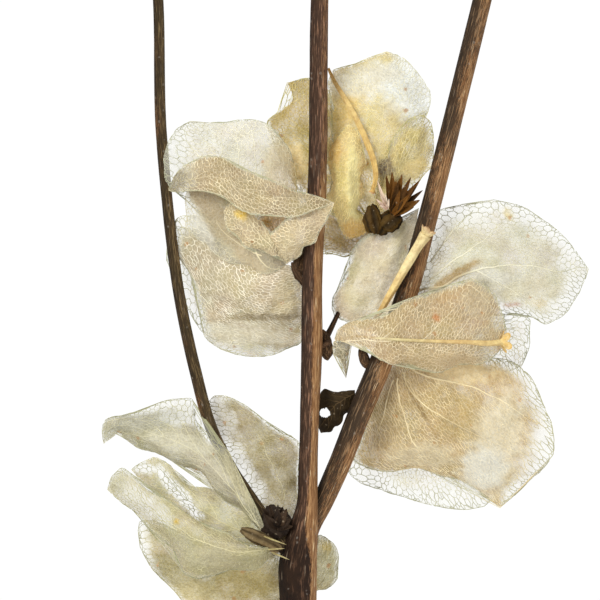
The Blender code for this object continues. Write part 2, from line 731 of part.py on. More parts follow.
def tip_bract(hub, forward, turn, length):
    """A formula's bract, opening from a stem tip: its middle surface as a grid."""
    rows, columns = TIP_BRACT_ROWS, BRACT_COLUMNS
    side = Vector((0, 0, 1)).cross(forward).normalized()
    up = forward.cross(side)
    outward = math.cos(turn) * side + math.sin(turn) * up
    edge = forward.cross(outward)
    grid = np.empty((rows, columns, 3))
    for row, along in enumerate(np.linspace(0, 1, rows).tolist()):
        lean = TIP_OPENING * (0.45 + 0.75 * along)
        width = TIP_BRACT_ASPECT * length * math.sin(math.pi * along**0.8) ** 0.75
        spine = hub + length * along * (math.cos(lean) * forward + math.sin(lean) * outward)
        inward = math.cos(lean) * outward - math.sin(lean) * forward
        for column, across in enumerate(np.linspace(-1, 1, columns).tolist()):
            cup = -TIP_CUP * across**2 * width / 2
            grid[row, column] = spine + edge * (across * width / 2) + inward * cup
    room = hub.z - BRACT_THICKNESS / 2
    below = np.maximum(hub.z - grid[..., 2], 0) * TIP_SAG / room
    if below.max() > 0:
        sunk = room * np.tanh(below) / np.tanh(below.max())
        grid[..., 2] = np.maximum(grid[..., 2], hub.z) - sunk
    return grid


def tip_head_builders(hub, heading, length, first_turn):
    """The bracts of a head at a stem's tip."""
    centre = place(*hub)
    forward = Vector((math.cos(math.radians(heading)), math.sin(math.radians(heading)), 0))
    builders = [lambda mesh: add_blob(mesh, centre, HUB_SIZES, 0)]
    for number in range(TIP_BRACT_COUNT):
        turn = math.radians(first_turn + 360 * number / TIP_BRACT_COUNT)
        size = length * MM * (1 - 0.12 * (number % 2))
        grid = ruffled(tip_bract(centre, forward, turn, size), 2.3 * number)
        builders.append(lambda mesh, grid=grid: add_sheet(mesh, grid))
    return builders


def laid_on(path, rails, rise):
    """A path of (x, y, radius) given heights that lay it on a bract's upper side."""
    grid = surface_grid(rails, 40, 40).reshape(-1, 3)
    laid = []
    for x_step, y_step, radius in path:
        point = place(x_step, y_step, 0)
        nearest = np.argmin(np.hypot(grid[:, 0] - point.x, grid[:, 1] - point.y))
        laid.append((point.x, point.y, grid[nearest, 2] + rise + radius * MM, radius * MM))
    return laid


def make_parts():
    """Every node of the bunch."""
    wood = material("dried_wood", WOOD, 0.8)
    ivory = material("ivory_bract", IVORY, 0.6)
    yellow = material("yellow_bract", YELLOW, 0.6)
    cream = material("cream_flower", CREAM, 0.6)
    dark = material("dark_bud", DARK_BROWN, 0.75)
    brown = material("dried_leaf", LEAF_BROWN, 0.8)

    make_branch(wood)
    wood_with_gap = fused("wood_with_gap", branch_builders(GAP), wood)

    ridge = laid_on(RIDGE_FLOWER, FRONT_BRACTS["front"], -0.5 * MM)
    front = head_builders(FRONT_HUB, FRONT_BRACTS, hub_sizes=FRONT_HUB_SIZES)
    front.append(lambda mesh: add_tube(mesh, ridge, TWIG_POINT_EVERY, TWIG_SIDES))
    heads = {
        "left_head": (head_builders(LEFT_HUB, LEFT_BRACTS, LEFT_FLAPS), ivory),
        "upper_head": (head_builders(UPPER_HUB, UPPER_BRACTS), yellow),
        "right_head": (head_builders(RIGHT_HUB, RIGHT_BRACTS), ivory),
        "front_head": (front, ivory),
        "lower_head": (head_builders(LOWER_HUB, LOWER_BRACTS), ivory),
    }
    for name, row in TIP_HEADS.items():
        heads[name] = (tip_head_builders(*row), ivory)
    for name, (builders, finish) in heads.items():
        fused(name, builders, finish, clear_of=wood_with_gap)

    upper_calyx = calyx_builders(UPPER_BUDS, UPPER_SPIKES_BASE, UPPER_SPIKES)
    fused("upper_calyx", upper_calyx, dark, wood_with_gap)
    lower_calyx = calyx_builders((LOWER_LUMP,), LOWER_SPIKES_BASE, LOWER_SPIKES)
    fused("lower_calyx", lower_calyx, dark, wood_with_gap)
    fused("seed_pod", [blob_builder(*SEED_POD)], dark)
    leaf = ruffled(surface_grid(DRIED_LEAF, BRACT_ROWS, BRACT_COLUMNS), 0.8, LEAF_CRUMPLE)
    fused("dried_leaf", [lambda mesh: add_sheet(mesh, leaf)], brown, wood_with_gap)
    bpy.data.objects.remove(wood_with_gap)

    upper_bract = [[UPPER_HUB, *rail] for rail in UPPER_BRACTS["top"]]
    upper_path = laid_on(UPPER_FLOWER, upper_bract, 1.4 * MM)
    right_path = plan_path(RIGHT_FLOWER)
    fused(
        "upper_flower",
        [lambda mesh: add_tube(mesh, upper_path, TWIG_POINT_EVERY, TWIG_SIDES)],
        cream)
    fused("right_flower", [lambda mesh: add_tube(mesh, right_path, FLOWER_POINT_EVERY, 8)], cream)


make_parts()
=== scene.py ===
"""Looks of a bleached, dried bougainvillea bunch that lies on a white table.

Every bract is a thin papery film that carries its own net of veins, with larger ribs on it. The
stems get furrowed bark, and the flower tubes, buds, sepals, pod and leaf are made as fine meshes.
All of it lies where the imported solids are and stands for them.
"""

import math
import random

import bmesh
import bpy
import numpy as np
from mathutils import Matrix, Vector, kdtree, noise
from mathutils.geometry import delaunay_2d_cdt

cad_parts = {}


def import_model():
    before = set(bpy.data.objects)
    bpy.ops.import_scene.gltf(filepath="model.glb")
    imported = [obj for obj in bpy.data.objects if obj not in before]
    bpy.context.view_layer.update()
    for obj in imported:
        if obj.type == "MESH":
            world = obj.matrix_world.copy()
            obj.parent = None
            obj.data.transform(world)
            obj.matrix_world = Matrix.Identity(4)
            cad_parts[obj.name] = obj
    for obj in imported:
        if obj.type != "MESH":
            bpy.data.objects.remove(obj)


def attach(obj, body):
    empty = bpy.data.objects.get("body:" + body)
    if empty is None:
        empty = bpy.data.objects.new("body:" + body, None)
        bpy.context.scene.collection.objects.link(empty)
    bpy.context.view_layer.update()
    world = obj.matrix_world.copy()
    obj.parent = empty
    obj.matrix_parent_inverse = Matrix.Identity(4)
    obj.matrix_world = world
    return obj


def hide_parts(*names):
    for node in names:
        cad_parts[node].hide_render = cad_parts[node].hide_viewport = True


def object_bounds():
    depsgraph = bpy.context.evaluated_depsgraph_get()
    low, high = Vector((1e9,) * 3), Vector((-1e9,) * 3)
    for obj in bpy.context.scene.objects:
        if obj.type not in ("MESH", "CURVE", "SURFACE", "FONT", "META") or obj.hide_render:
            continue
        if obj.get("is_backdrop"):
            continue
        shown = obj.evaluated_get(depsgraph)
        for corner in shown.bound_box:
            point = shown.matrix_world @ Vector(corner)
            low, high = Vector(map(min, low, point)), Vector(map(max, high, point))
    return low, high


# The plan: a sheet of 600 by 600 steps, x to the right and y down, heights in millimetres.
BRACT_LENGTH = 0.045
BRACT_STEPS = 195
STEP = BRACT_LENGTH / BRACT_STEPS
SHEET_SIZE = 600
SHEET_MIDDLE = 300
FOOTPRINT_MIDDLE = (0.0117, 0.0091)
MM = 0.001
CAD_BOX = []

# The view straight down on the sheet, and its light.
CAMERA_HEIGHT = 3.0
VIEW_PLANE = 0.016
VIEW_NEAR = 0.1
VIEW_FAR = 200
SENSOR = 36.0
FILM_LAYERS = 32
FLOOR_SIZE = 60.0
SKY_STRENGTH = 0.56
FLOOR_GLOW = 1.03
# Lamps: name, place, size in metres, power, and how blue the light is.
LAMPS = (
    ("window", (-0.5, 0.5, 0.9), 0.5, 12, 0.95), ("bounce", (0.3, -0.8, 0.7), 0.8, 5.5, 0.96))

# Bract films: the fineness of their meshes, their waves, folds and dimples, and the size below
# which a row of points counts as one point.
FILM_ROWS = 54
FILM_COLUMNS = 34
FILM_THICKNESS = 0.05 * MM
NARROW_WIDTH = 5 * MM
FULL_WIDTH = 14 * MM
RUFFLE_HEIGHT = 0.9 * MM
RUFFLE_WAVES = 3.5
CRUMPLE_HEIGHT = 0.55 * MM
CRUMPLE_SIZE = 5.5 * MM
DIMPLE_HEIGHT = 0.1 * MM
DIMPLE_SIZE = 1.7 * MM
MARGIN_NIBBLE = 0.5 * MM
POINT_SIZE = 0.02 * MM
CURVE_SAMPLES = 600

# The vein net: room round a vein cell, the wider meshes of the second net, thicknesses, where a
# bract's outline starts, and how many points are tried for each cell.
CELL_ROOM = 0.8 * MM
CELL_DENT = 0.05 * MM
PATCH_ROOM = 3.4 * MM
VEIN_RADIUS = 0.08 * MM
PATCH_VEIN_RADIUS = 0.11 * MM
MIDRIB_RADIUS = 0.24 * MM
SIDE_RIB_RADIUS = 0.17 * MM
RIB_END_RADIUS = 0.06 * MM
SIDE_RIB_PAIRS = 6
RIB_POINTS = 40
SIDE_RIB_POINTS = 22
VEIN_SIDES = 3
RIB_SIDES = 6
BASE_SHARE = 0.012
RIM_SAMPLES = 300
TRIES_PER_CELL = 9
TRACK_GRID = (160, 120)

# What a colour is multiplied by where dry film and veins are browner.
BROWNING = (0.5, 0.36, 0.18, 1)

# Flowers, sepals, the leaf and lumps of wood, and the angle from which an edge looks sharp.
MOUTH_SIDES = 60
FLOWER_LOBES = 5
BLADE_ROWS = 22
BLADE_COLUMNS = 9
BLADE_THICKNESS = 0.22 * MM
BUD_SIDES = 40
BUD_ROWS = 26
BARK_STEP = 1.2 * MM
STALK_STEP = 0.8 * MM
TUBE_STEP = 0.5 * MM
LEAF_THICKNESS = 0.2 * MM
LUMP_DETAIL = 4
LUMP_ROUGHNESS = 0.12
SHARP_ANGLE = math.radians(50)

# Stems: (x step, y step, height mm, radius mm), from the foot to the tip.
MIDDLE_STEM = (
    (292, 905, 3.95, 4.1), (291, 800, 4.3, 4.1), (295, 700, 8.0, 4.15), (298, 600, 13.4, 4.3),
    (298, 562, 15.8, 4.4), (303, 532, 17.6, 3.5), (307, 505, 18.3, 2.45), (308, 470, 18.8, 2.25),
    (310, 402, 19.0, 2.25), (312, 337, 19.0, 2.45), (312, 290, 19.0, 2.35), (317, 190, 19.0, 2.2),
    (319, 30, 19.5, 2.1), (322, -120, 20.0, 1.8), (318, -265, 19.0, 1.45),
)
LEFT_STEM = (
    (296, 562, 15.4, 2.4), (286, 545, 16.4, 1.9), (272, 528, 16.4, 1.6), (252, 500, 15.6, 1.45),
    (232, 470, 14.8, 1.4), (212, 430, 13.8, 1.4), (195, 370, 12.8, 1.4), (180, 300, 12.2, 1.35),
    (167, 200, 12.0, 1.32), (161, 130, 12.0, 1.3), (158, 0, 12.6, 1.25), (150, -110, 14.0, 1.15),
    (134, -215, 15.0, 1.0),
)
RIGHT_STEM = (
    (300, 560, 14.4, 3.0), (309, 527, 14.6, 2.6), (322, 503, 15.0, 2.5), (337, 470, 16.0, 2.6),
    (360, 412, 17.5, 2.65), (377, 372, 18.4, 2.75), (408, 290, 18.8, 2.5), (425, 228, 18.9, 2.3),
    (453, 118, 19.2, 2.2), (482, 0, 19.6, 2.2), (513, -130, 19.6, 1.8), (541, -225, 18.6, 1.5),
)
STALKS = (
    ((313, 292, 18.4, 1.0), (303, 282, 17.6, 0.8), (295, 270, 17.2, 0.8), (293, 262, 17.2, 0.5)),
    ((314, 356, 17.6, 1.2), (327, 336, 15.0, 0.75), (337, 316, 12.0, 0.55), (351, 285, 8.0, 0.5),
     (365, 250, 7.4, 0.5), (374, 237, 9.4, 0.5), (382, 228, 13.4, 0.55), (388, 221, 16.0, 0.7)),
    ((383, 355, 18.2, 1.6), (394, 350, 17.6, 1.2), (401, 348, 17.2, 0.8)),
    ((294, 556, 16.6, 2.0), (284, 549, 16.6, 1.4), (276, 545, 16.6, 0.9)),
    ((320, 346, 17.0, 1.2), (326, 343, 18.2, 0.8), (330, 342, 19.0, 0.6)),
)
NODE_BUMPS = (
    ((364, 358, 18.6), (5.0, 2.4, 2.4), 108), ((325, 345, 16.8), (6.8, 3.6, 2.4), 102),
    ((297, 262, 17.4), (4.4, 1.7, 1.5), 75), ((288, 532, 17.0), (4.0, 2.2, 1.8), 55),
    ((291, 740, 6.4), (4.2, 4.6, 4.3), 90), ((300, 263, 16.6), (7.6, 3.2, 2.2), 82),
)

# Flower heads: each bract is its tip and its rails from the base on, in (x step, y step, mm up).
LEFT_HUB = (287, 264, 16.6)
LEFT_BRACTS = {
    "back": (
        (190, 121, 11),
        [(252, 246, 11), (215, 226, 11), (184, 202, 13.5), (165, 178, 15.6), (163, 156, 15.4),
         (170, 136, 14)],
        [(270, 225, 15), (240, 180, 17), (212, 148, 15)],
        [(297, 232, 14), (296, 195, 13), (296, 158, 12.6), (279, 136, 12.5), (260, 118, 11.5),
         (222, 123, 10)],
    ),
    "lip": (
        (334, 203, 25),
        [(270, 244, 20.6), (273, 230, 24), (288, 216, 26), (312, 207, 26.4)],
        [(288, 246, 24), (308, 224, 26.4)],
        [(299, 256, 20), (309, 246, 22.4), (323, 229, 24.4)],
    ),
    "middle": (
        (190, 187, 17.6),
        [(274, 244, 19.6), (260, 224, 20.4), (244, 205, 21), (222, 190, 20.6), (204, 183, 19.4)],
        [(262, 256, 20), (234, 236, 19.2), (208, 212, 18.4)],
        [(268, 274, 18.8), (240, 266, 17.6), (212, 252, 15.4), (194, 236, 13.8), (186, 218, 13.6),
         (184, 200, 15.4)],
    ),
    "front": (
        (252, 357, 1.6),
        [(250, 244, 14.4), (214, 219, 12.4), (178, 217, 10.4), (174, 240, 9.8), (184, 270, 8.8),
         (193, 292, 8), (201, 317, 7), (203, 335, 5), (215, 348, 3.2), (232, 354, 2.2)],
        [(262, 278, 19), (240, 296, 17.6), (232, 313, 13), (238, 326, 9.6)],
        [(296, 271, 15.6), (304, 288, 14.2), (306, 314, 11), (304, 338, 5.6), (283, 352, 2.8)],
    ),
    "lobe": (
        (224, 212, 21.6),
        [(279, 247, 21.4), (271, 234, 22.4), (263, 221, 23.2), (254, 211, 23.6), (240, 204, 23.2),
         (229, 204, 22.4)],
        [(268, 246, 23.4), (250, 231, 24.4), (236, 219, 23.8)],
        [(280, 257, 20.8), (264, 253, 21), (248, 247, 21), (236, 238, 21), (227, 226, 21.2)],
    ),
    "under": (
        (236, 345, 0.3),
        [(240, 252, 9), (190, 228, 7), (168, 226, 6.2), (165, 246, 5.2), (168, 266, 4.4),
         (179, 292, 3.6), (188, 313, 2.6), (205, 335, 1.2)],
        [(262, 282, 11), (238, 304, 7), (228, 326, 3)],
        [(294, 288, 10), (297, 312, 5.4), (282, 334, 2)],
    ),
}
LEFT_FLAPS = {
    "flap": (
        (334, 203, 25),
        [(168, 190, 13), (180, 170, 18), (190, 160, 20), (219, 157, 22), (245, 167, 24),
         (268, 180, 25), (292, 189, 26), (313, 195, 26)],
        [(168, 190, 13), (184, 182, 21), (215, 178, 26), (250, 193, 28), (288, 203, 29)],
        [(168, 190, 13), (182, 193, 19), (201, 189, 23), (219, 197, 25.6), (240, 210, 26.8),
         (266, 217, 27.4), (290, 218, 27.6), (313, 211, 27.4)],
    ),
}
UPPER_HUB = (373, 224, 10.2)
UPPER_BRACTS = {
    "top": (
        (387, 51, 8.4),
        [(350, 190, 11), (332, 140, 12), (329, 100, 11.4), (330, 74, 11), (352, 62, 10),
         (369, 57, 9)],
        [(376, 190, 14), (378, 140, 15.4), (384, 90, 13.4)],
        [(394, 190, 11), (408, 150, 11.4), (416, 122, 11.6), (429, 106, 11), (433, 93, 10.6),
         (424, 79, 10), (412, 65, 9.4), (398, 54, 8.8)],
    ),
    "right": (
        (434, 140, 13),
        [(376, 186, 13), (392, 140, 15.4), (410, 118, 15), (424, 115, 14)],
        [(388, 190, 14.6), (405, 162, 16), (420, 150, 15)],
        [(398, 205, 12), (412, 188, 12.6), (424, 178, 12.6), (433, 162, 12.6)],
    ),
    "left": (
        (287, 82, 8),
        [(330, 214, 7.6), (305, 200, 7), (291, 180, 6.6), (276, 146, 6.4), (267, 121, 6.4),
         (279, 112, 6.8), (293, 99, 7.2), (292, 90, 7.6)],
        [(340, 196, 9.6), (316, 150, 10), (303, 112, 9)],
        [(352, 190, 9), (342, 140, 9.6), (334, 98, 10), (316, 76, 9), (302, 78, 8.5)],
    ),
    "fold": (
        (348, 124, 15),
        [(360, 236, 10), (348, 237, 10), (338, 226, 10.6), (331, 206, 11.6), (329, 170, 13.4),
         (333, 142, 14.4)],
        [(352, 214, 15), (347, 190, 19), (348, 152, 20)],
        [(360, 210, 13), (363, 184, 15.6), (364, 158, 17), (361, 138, 17)],
    ),
    "low": (
        (310, 238, 5),
        [(352, 206, 8.4), (334, 200, 7.6), (320, 206, 6.4), (312, 222, 5.4)],
        [(362, 240, 8.4), (346, 241, 7.6), (330, 240, 6.4)],
        [(372, 247, 6.6), (352, 254, 5.8), (334, 256, 5), (318, 251, 4.8)],
    ),
}
RIGHT_HUB = (407, 346, 17.2)
RIGHT_BRACTS = {
    "left": (
        (419, 208, 12.4),
        [(378, 330, 12.6), (350, 322, 12), (333, 316, 11.4), (332, 304, 11), (338, 288, 11),
         (346, 268, 11.4), (349, 254, 12), (354, 245, 12.3), (366, 236, 12.6), (389, 231, 13),
         (403, 221, 12.6)],
        [(384, 310, 13.4), (374, 278, 14.2), (390, 248, 14)],
        [(406, 310, 12.6), (408, 275, 12.4), (414, 240, 12.4)],
    ),
    "upper": (
        (589, 269, 8.4),
        [(410, 300, 13), (422, 250, 12.6), (442, 205, 12.2), (470, 203, 11.6), (500, 201, 11),
         (521, 205, 10.6), (540, 215, 10), (567, 240, 9.4), (581, 257, 9)],
        [(424, 304, 16), (448, 282, 18), (476, 269, 18.6), (508, 265, 17), (542, 267, 14)],
        [(448, 322, 12.4), (480, 308, 11.4), (514, 312, 10), (531, 319, 9), (545, 326, 8),
         (557, 321, 7.8), (569, 309, 7.8), (580, 295, 8)],
    ),
    "lower": (
        (501, 509, 2),
        [(378, 384, 12), (363, 425, 9), (353, 460, 6.6), (384, 470, 5), (424, 474, 4.4),
         (464, 481, 4), (486, 497, 2.8)],
        [(426, 395, 17.4), (456, 435, 15), (484, 474, 8.4)],
        [(440, 358, 15.4), (484, 356, 14.6), (521, 366, 12.6), (536, 385, 11.6), (550, 413, 10),
         (556, 440, 8.4), (544, 470, 6), (531, 484, 4.4), (514, 498, 3)],
    ),
    "under": (
        (446, 509, 0.3),
        [(376, 420, 5.4), (345, 464, 3), (350, 477, 1.8), (384, 491, 1), (418, 503, 0.4)],
        [(412, 420, 8.6), (430, 466, 4.4)],
        [(462, 405, 7), (500, 450, 4), (506, 488, 2), (486, 507, 0.8)],
    ),
    "scrap": (
        (522, 366, 11.6),
        [(446, 322, 14.6), (488, 314, 13.4), (514, 315, 12.4), (531, 320, 11.2), (531, 340, 11.2)],
        [(456, 344, 15.2), (500, 341, 14), (517, 350, 12.4)],
        [(446, 364, 13.6), (484, 372, 12.4), (508, 372, 11.8)],
    ),
}
FRONT_HUB = (334, 341, 19.4)
FRONT_BRACTS = {
    "front": (
        (507, 342, 19.4),
        [(342, 325, 22.6), (358, 319, 24), (377, 316, 25), (392, 310, 25.4), (407, 300, 25.4),
         (426, 294, 24.6), (446, 284, 22.6), (476, 281, 20.6), (492, 290, 19.6), (505, 322, 19)],
        [(360, 334, 25), (390, 340, 27.6), (434, 341, 27), (468, 342, 25)],
        [(345, 342, 22), (362, 347, 24.4), (377, 356, 25), (394, 365, 25), (410, 368, 23.6),
         (430, 370, 21.4), (458, 368, 19.4), (486, 361, 18.4)],
    ),
    "tail": (
        (346, 378, 14.6),
        [(333, 353, 18), (340, 362, 17.2), (344, 369, 16)],
        [(342, 351, 18.8), (344.5, 362, 17.6)],
        [(353, 344, 18.6), (348.5, 354, 17.6), (346.5, 366, 16.4)],
    ),
}
LOWER_HUB = (271, 543, 16.6)
LOWER_BRACTS = {
    "back_left": (
        (103, 444, 7),
        [(258, 511, 19.6), (243, 480, 20.4), (233, 459, 19.6), (225, 447, 18.6), (213, 440, 17),
         (204, 434, 15), (199, 424, 13.4), (197, 410, 12.8), (194, 399, 12.4), (173, 401, 11),
         (153, 408, 10.6), (135, 412, 11), (118, 415, 11.4), (105, 419, 10), (102, 432, 8.4)],
        [(242, 503, 20), (216, 470, 19.6), (184, 444, 17), (152, 432, 15), (126, 425, 13),
         (110, 428, 10.6)],
        [(242, 512, 15.4), (224, 496, 13.4), (208, 485, 12.4), (193, 471, 11.6), (178, 461, 11),
         (163, 456, 10), (143, 452, 9.4), (130, 443, 9), (120, 433, 8.8), (110, 439, 7.6)],
    ),
    "back": (
        (214, 396, 8.4),
        [(250, 503, 11), (226, 465, 9), (207, 432, 8), (203, 410, 8)],
        [(282, 490, 12.6), (262, 450, 12.4), (238, 420, 11)],
        [(298, 512, 11.6), (300, 472, 12), (298, 441, 11.6), (277, 428, 10.6), (256, 415, 10),
         (241, 403, 9.4), (228, 396, 9)],
    ),
    "front": (
        (107, 490, 9),
        [(264, 547, 20.6), (246, 544, 22), (217, 529, 21.6), (186, 511, 19.6), (156, 493, 17),
         (138, 480, 14.6), (122, 468, 12), (110, 478, 10.6)],
        [(264, 553, 22.4), (244, 556, 24.6), (215, 548, 24), (180, 530, 21), (145, 505, 16)],
        [(266, 562, 17.4), (236, 571, 16.4), (214, 577, 15), (195, 577, 14), (182, 571, 13),
         (169, 551, 12), (155, 533, 11), (137, 517, 10), (119, 502, 9.4)],
    ),
    "middle": (
        (131, 470, 7.6),
        [(256, 514, 14.4), (233, 498, 12.4), (212, 492, 11.6), (192, 483, 11), (176, 473, 10.6),
         (166, 465, 10.4), (154, 457, 10), (143, 461, 9)],
        [(228, 524, 16.4), (186, 498, 14.6), (156, 478, 11)],
        [(240, 546, 13), (200, 530, 10.4), (160, 500, 8)],
    ),
    "low": (
        (204, 628, 0.3),
        [(240, 548, 13), (186, 535, 7.6), (152, 521, 6.2), (137, 523, 6), (136, 536, 5.4),
         (141, 552, 4.8), (151, 568, 4), (165, 585, 3), (181, 602, 2)],
        [(266, 563, 12), (252, 590, 7.4), (228, 611, 3)],
        [(277, 548, 9.4), (298, 540, 7.4), (319, 536, 7.6), (331, 542, 7.7), (340, 557, 7.8),
         (338, 571, 7.3), (337, 582, 6.8), (330, 586, 6.4), (306, 590, 5.6), (278, 610, 3),
         (244, 625, 1.2)],
    ),
}
# Heads at the stem tips: hub, direction in degrees from +X, bract length mm, first bract's turn.
TIP_HEADS = {
    "left_tip_head": ((132.7, -221, 15.0), 100, 36, 80),
    "middle_tip_head": ((317.3, -271, 19.0), 88, 39, 105),
    "right_tip_head": ((542.8, -231, 18.6), 66, 37, 70),
}
TIP_BRACT_COUNT = 3
TIP_BRACT_ASPECT = 0.82
TIP_OPENING = math.radians(42)
TIP_CUP = 0.34
TIP_SAG = 1.5
TIP_SHRINK = 0.12
SOLID_THICKNESS = 0.6 * MM
# The waves of a bract start at a phase of their own, and its noise and draws have their own seed.
BRACT_PHASE_STEP = 1.7
FLAP_PHASE = 0.6
TIP_PHASE_STEP = 2.3
HEAD_SEED = 100
TIP_HEAD_SEED = 3000
HEAD_SEED_STEP = 500
BRACT_SEED_STEP = 31

UPPER_FLOWER = (
    (328.5, 68, 0.26), (334, 80, 0.4), (346, 100, 0.58), (358, 122, 0.66), (367, 142, 0.68),
    (374, 162, 0.64), (376, 176, 0.56), (373, 190, 0.42),
)
UPPER_FLOWER_RISE = 1.4 * MM
RIGHT_FLOWER = (
    (374, 321, 22.3, 0.55), (379, 313, 22.4, 0.62), (387, 299, 22.6, 0.78), (399, 278, 22.7, 0.92),
    (410, 259, 22.8, 1.08), (419, 244, 22.8, 1.15), (425, 235, 23.0, 1.5), (427, 232, 23.0, 1.2),
)
RIDGE_FLOWER = (
    (356, 336, 0.22), (390, 339, 0.34), (434, 341, 0.4), (468, 342, 0.52), (490, 343, 0.66),
    (501, 342, 0.7),
)
RIDGE_FLOWER_RISE = -0.25 * MM
DRIED_LEAF = (
    (321, 433, 12),
    [(355, 390, 15.4), (338, 391, 15), (319, 391, 13.6), (316, 404, 13), (317, 420, 12.4)],
    [(355, 393, 15.4), (340, 402, 16.6), (330, 412, 14.6), (325, 424, 14)],
    [(356, 397, 15.4), (352, 408, 14.6), (343, 420, 14), (333, 430, 13)],
)
LEAF_HOLE = (324.5, 413, 0)
LEAF_HOLE_SIZE = (6.0, 4.8)
UPPER_BUDS = (
    ((373, 219, 16.2), (6.6, 4.0, 2.6), 98), ((391, 221, 16.0), (5.2, 4.6, 2.6), 30),
    ((383, 226, 15.2), (4.4, 3.4, 2.0), 60),
)
UPPER_SPIKES = (
    (386, 175, 17), (392, 172, 18), (398, 181, 20), (402, 174, 19), (411, 177, 18.6),
    (420, 180, 17.6), (423, 190, 16.6), (420, 200, 18), (414, 207, 17), (396, 180, 20),
    (406, 186, 21), (410, 194, 20.6), (416, 184, 18.4), (400, 190, 21),
)
UPPER_SPIKES_BASE = (393, 214, 16.4)
PALE_STRANDS = (
    (377, 180, 18.4), (376, 199, 18), (380, 195, 18.4), (385, 193, 18), (389, 199, 19),
    (379, 205, 18.6),
)
PALE_STRANDS_BASE = (387, 209, 17.2)
SEED_POD = ((260, 538.5, 19.4), (10.4, 3.0, 2.2), 153)
LOWER_SPIKES = (
    (262, 507, 21.6), (269, 504, 23.4), (278, 504, 24.2), (287, 508, 24), (292, 518, 23),
    (264, 514, 23), (283, 506, 22), (293, 526, 21.6),
)
LOWER_SPIKES_BASE = (277, 527, 19.4)
LOWER_LUMP = ((276, 521, 18.6), (7.6, 6.4, 3.2), 120)
LOWER_POINTS = (
    ((264, 536, 20.6), (287, 544.5, 21.2)),
    ((268, 549, 21.2), (285, 548, 21.4)),
    ((272, 552, 21), (290, 559.5, 20.6)),
)


def place(x_step, y_step, height):
    """A point of the plan as a point in metres."""
    return Vector((
        (x_step - SHEET_MIDDLE) * STEP - FOOTPRINT_MIDDLE[0],
        (SHEET_MIDDLE - y_step) * STEP - FOOTPRINT_MIDDLE[1],
        height * MM,
    ))


def smooth_line(points, count, even=True):
    """count points on a smooth curve through the given ones, of any dimension."""
    points = np.asarray(points, float)
    if len(points) == 2:
        return blend(points[0], points[1], np.linspace(0, 1, count)[:, None])
    lengths = np.ones(len(points) - 1)
    if even:
        lengths = np.linalg.norm(np.diff(points[:, :3], axis=0), axis=1)
    knots = np.concatenate([[0], np.cumsum(lengths)])
    slopes = np.diff(points, axis=0) / lengths[:, None]
    tangents = np.empty_like(points)
    before, after = lengths[:-1, None], lengths[1:, None]
    tangents[1:-1] = (slopes[:-1] * after + slopes[1:] * before) / (before + after)
    tangents[0] = 1.5 * slopes[0] - 0.5 * tangents[1]
    tangents[-1] = 1.5 * slopes[-1] - 0.5 * tangents[-2]

    def at(where):
        span = np.clip(np.searchsorted(knots, where, side="right") - 1, 0, len(lengths) - 1)
        size = lengths[span][:, None]
        t = ((where - knots[span]) / lengths[span])[:, None]
        return (
            (2 * t**3 - 3 * t**2 + 1) * points[span]
            + (t**3 - 2 * t**2 + t) * size * tangents[span]
            + (3 * t**2 - 2 * t**3) * points[span + 1]
            + (t**3 - t**2) * size * tangents[span + 1]
        )

    if not even:
        return at(np.linspace(0, knots[-1], count))
    fine = np.linspace(0, knots[-1], CURVE_SAMPLES)
    far = walked(at(fine)[:, :3])
    return at(np.interp(np.linspace(0, far[-1], count), far, fine))


def smooth_step(low, high, value):
    """0 at low, 1 at high and a smooth change between."""
    share = np.clip((value - low) / (high - low), 0, 1)
    return share * share * (3 - 2 * share)


def noise_at(points, size, seed):
    """Smooth noise from about -1 to 1 at each point of an array, with features of a given size."""
    shift = Vector((17.3 * seed, 5.1 * seed, -9.7 * seed))
    flat = np.asarray(points, float).reshape(-1, 3) / size
    values = [noise.noise(Vector(point) + shift) for point in flat.tolist()]
    return np.array(values).reshape(np.shape(points)[:-1])


def row_widths(grid):
    """The length of each row of a grid of points."""
    return np.linalg.norm(np.diff(grid, axis=1), axis=2).sum(axis=1)


def walked(points):
    """The length along a line of points up to each of them."""
    steps = np.linalg.norm(np.diff(points, axis=0), axis=1)
    return np.concatenate([[0], np.cumsum(steps)])


def blend(first, second, share):
    """A mix of two values or rows of values."""
    return first * (1 - share) + second * share


def shrunk(row):
    """Whether a row of points is as good as one point."""
    return np.ptp(row, axis=0).max() < POINT_SIZE


def grid_normals(grid):
    """Unit normals of a grid of points, turned to look up on the whole."""
    along = np.gradient(grid, axis=0)
    across = np.gradient(grid, axis=1)
    normals = np.cross(across, along)
    for row, inner in ((0, 1), (-1, -2)):
        if shrunk(grid[row]):
            normals[row] = normals[inner].mean(axis=0)
    normals /= np.maximum(np.linalg.norm(normals, axis=2, keepdims=True), 1e-12)
    own = np.clip(row_widths(grid) / NARROW_WIDTH, 0, 1)[:, None, None]
    normals = blend(normals.mean(axis=1, keepdims=True), normals, own)
    normals /= np.linalg.norm(normals, axis=2, keepdims=True)
    return normals if normals[..., 2].sum() > 0 else -normals


